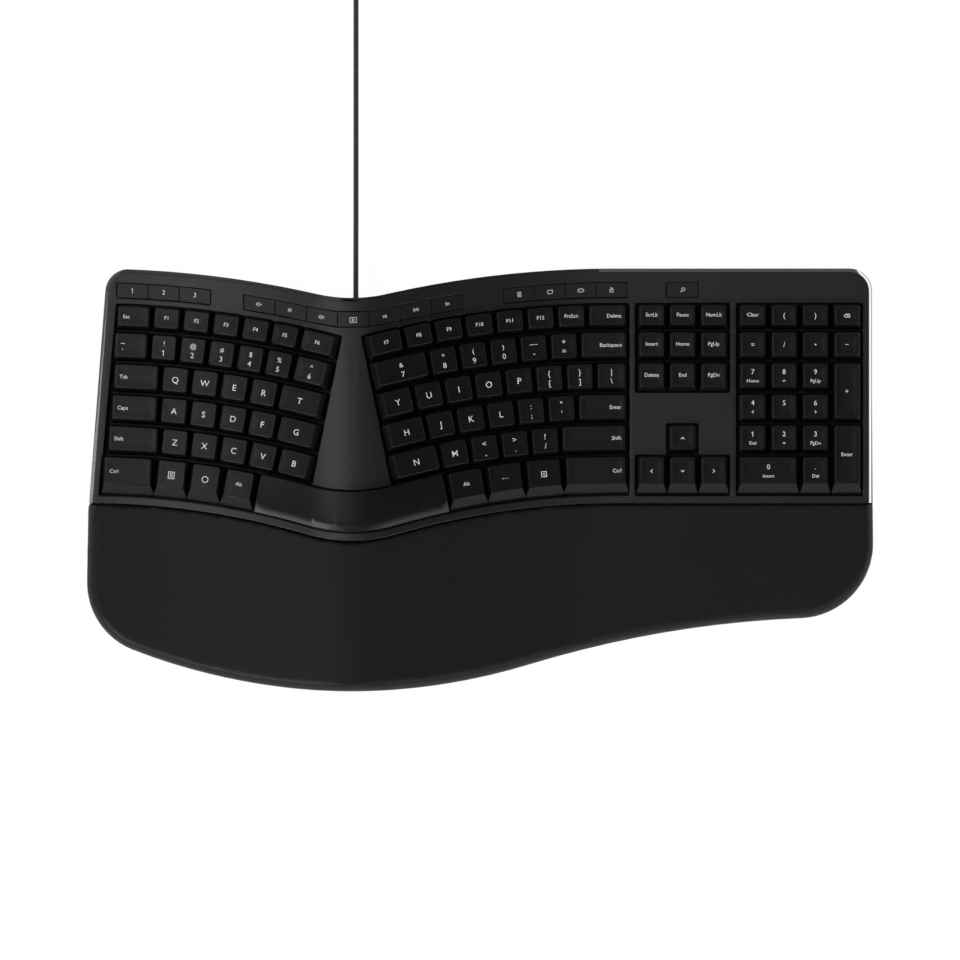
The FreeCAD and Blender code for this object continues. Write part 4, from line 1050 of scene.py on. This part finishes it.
def printed(marks, ground):
    """Marks laid on a surface under them, a few hundredths clear of it."""
    sheet = join(marks, "print")
    lay = sheet.modifiers.new("lay", "SHRINKWRAP")
    lay.target = ground
    lay.wrap_method = "PROJECT"
    lay.use_project_z = True
    lay.use_positive_direction = False
    lay.use_negative_direction = True
    lay.offset = PRINT_LIFT
    apply_modifiers(sheet)
    return sheet


def make_keys():
    forms = {}
    pieces = {}
    for key in KEYS:
        width = round(key.width / math.cos(node_tilt(key.node)), 3)
        shape = (width, round(key.depth, 3), key.bevelled, key.tapers)
        if shape not in forms:
            forms[shape] = cap_form(*shape)
        cap = copy_of(forms[shape])
        legend = printed(key_marks(key, width), cap)
        matrix = seat(key)
        place(cap, matrix)
        place(legend, matrix)
        caps, legends = pieces.setdefault(key.node, ([], []))
        caps.append(cap)
        legends.append(legend)
    for form in forms.values():
        bpy.data.objects.remove(form)
    for node, (caps, legends) in pieces.items():
        cap = join(caps, node + "_caps")
        dress(cap, KEY_PLASTIC)
        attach(cap, node)
        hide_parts(node)
        legend = join(legends, node + "_legends")
        dress(legend, PRINT_WHITE)
        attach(legend, node)


make_keys()

# Legends of the flat keys: left end of each group, its pitch and its marks

HOT_LEGENDS = {
    "hot_keys_left": [(-223.1, 19.2, ["1", "2", "3"])],
    "hot_keys_media": [
        (-145.0, 19.23, ["quiet", "softer", "louder", "screen", "back", "play", "next"]),
    ],
    "hot_keys_right": [
        (14.7, 18.9, ["sums", "cutout", "windows", "lock"]),
        (114.8, 19.4, ["search"]),
    ],
}


def flat_seat(x):
    """From a mark's own axes to its place on the flat keys."""
    turn = math.atan((row_y(HOT_ROW, x + 1) - row_y(HOT_ROW, x - 1)) / 2)
    spot = Matrix.Translation((x, row_y(HOT_ROW, x), deck_z(x)))
    lean = Matrix.Rotation(deck_tilt(x), 4, "Y")
    down = Matrix.Translation((0, 0, HOT_RISE + PRINT_LIFT - MARK_HEIGHT))
    return spot @ lean @ Matrix.Rotation(turn, 4, "Z") @ down


def make_flat_legends():
    for node, groups in HOT_LEGENDS.items():
        legends = []
        for start, pitch, marks in groups:
            for n, mark in enumerate(marks):
                if mark.isdigit():
                    item = digit_mark(mark, FLAT_DIGIT, 0, 0)
                else:
                    item = sign_mark(mark, FLAT_SIGN, 0, 0, FLAT_STROKE)
                legends.append(place(item, flat_seat(start + (n + 0.5) * pitch)))
        legend = join(legends, node + "_legends")
        dress(legend, PRINT_WHITE)
        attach(legend, node)


make_flat_legends()
bpy.data.objects.remove(NIB)

# Studio: a white floor under a pale tent that is open above, with lamps at the sides

FLOOR_SIZE = 12.0
FLOOR_GREY = 0.8
GLOW_STRENGTH = 1.04
FLOOR_GLOW = 0.94
WORLD_FILL = 0.25
# In reflections the tent darkens between two heights, the sines of the angles above the horizon
TENT_LOW = 0.10
TENT_HIGH = 0.45
TENT_DARK = 0.07


def seen_share(nodes, links, *rays):
    """1 for the kinds of rays named, 0 for the others."""
    path = nodes.new("ShaderNodeLightPath")
    total = path.outputs[rays[0]]
    for ray in rays[1:]:
        add = nodes.new("ShaderNodeMath")
        add.operation = "ADD"
        add.use_clamp = True
        links.new(total, add.inputs[0])
        links.new(path.outputs[ray], add.inputs[1])
        total = add.outputs["Value"]
    return total


def studio_white():
    """White to the camera and in reflections, with a trace of the light that falls on it."""
    material = bpy.data.materials.new("studio_floor")
    material.use_nodes = True
    nodes, links = material.node_tree.nodes, material.node_tree.links
    shader = nodes["Principled BSDF"]
    shader.inputs["Base Color"].default_value = (*grey(FLOOR_GREY), 1.0)
    shader.inputs["Roughness"].default_value = 0.9
    shader.inputs["Specular IOR Level"].default_value = 0.0
    glow = nodes.new("ShaderNodeEmission")
    glow.inputs["Strength"].default_value = GLOW_STRENGTH
    share = nodes.new("ShaderNodeMath")
    share.operation = "MULTIPLY"
    share.inputs[1].default_value = FLOOR_GLOW
    mix = nodes.new("ShaderNodeMixShader")
    seen = seen_share(nodes, links, "Is Camera Ray", "Is Glossy Ray", "Is Transmission Ray")
    links.new(seen, share.inputs[0])
    links.new(share.outputs["Value"], mix.inputs["Fac"])
    links.new(shader.outputs["BSDF"], mix.inputs[1])
    links.new(glow.outputs["Emission"], mix.inputs[2])
    links.new(mix.outputs["Shader"], nodes["Material Output"].inputs["Surface"])
    return material


def make_floor():
    bpy.ops.mesh.primitive_plane_add(size=FLOOR_SIZE, location=(0, 0, 0))
    floor = bpy.context.object
    floor.name = "studio_floor"
    dress(floor, studio_white())


def make_world():
    """White to the camera, white low down and dark above in reflections, pale on matt faces."""
    world = bpy.data.worlds.new("studio")
    bpy.context.scene.world = world
    world.use_nodes = True
    nodes, links = world.node_tree.nodes, world.node_tree.links
    ground = nodes["Background"]
    ground.inputs["Color"].default_value = (1, 1, 1, 1)
    direction = nodes.new("ShaderNodeTexCoord")
    parts = nodes.new("ShaderNodeSeparateXYZ")
    links.new(direction.outputs["Generated"], parts.inputs["Vector"])
    tent = nodes.new("ShaderNodeMapRange")
    tent.inputs["From Min"].default_value = TENT_LOW
    tent.inputs["From Max"].default_value = TENT_HIGH
    tent.inputs["To Min"].default_value = 1.0
    tent.inputs["To Max"].default_value = TENT_DARK
    links.new(parts.outputs["Z"], tent.inputs["Value"])
    mirrored = nodes.new("ShaderNodeMix")
    mirrored.inputs["A"].default_value = WORLD_FILL
    glossy = seen_share(nodes, links, "Is Glossy Ray", "Is Transmission Ray")
    links.new(glossy, mirrored.inputs["Factor"])
    links.new(tent.outputs["Result"], mirrored.inputs["B"])
    seen = nodes.new("ShaderNodeMix")
    seen.inputs["B"].default_value = 1.0
    links.new(seen_share(nodes, links, "Is Camera Ray"), seen.inputs["Factor"])
    links.new(mirrored.outputs["Result"], seen.inputs["A"])
    links.new(seen.outputs["Result"], ground.inputs["Strength"])


# Azimuth from the right towards the rear and height above the floor, in degrees; distance and side of
# the square, in metres; and the level of light on a face turned to the lamp
LAMPS = [
    ("left_lamp", 165.0, 35.0, 3.0, 1.2, 0.45),
    ("right_lamp", 15.0, 35.0, 3.0, 1.2, 0.20),
    ("front_left_lamp", 236.0, 38.0, 3.0, 0.9, 0.85),
    ("front_right_lamp", 304.0, 40.0, 3.0, 0.9, 0.42),
    ("overhead_lamp", 180.0, 78.0, 7.5, 1.2, 0.16),
]


def make_lamp(name, azimuth, height, distance, side, level):
    turn, climb = math.radians(azimuth), math.radians(height)
    flat = distance * math.cos(climb)
    spot = Vector((flat * math.cos(turn), flat * math.sin(turn), distance * math.sin(climb)))
    aim = spot.to_track_quat("Z", "Y").to_euler()
    bpy.ops.object.light_add(type="AREA", location=spot, rotation=aim)
    lamp = bpy.context.object
    lamp.name = name
    lamp.data.shape = "SQUARE"
    lamp.data.size = side
    lamp.data.energy = level * math.pi * distance**2


make_floor()
make_world()
for row in LAMPS:
    make_lamp(*row)

bpy.context.scene.view_settings.view_transform = "Standard"
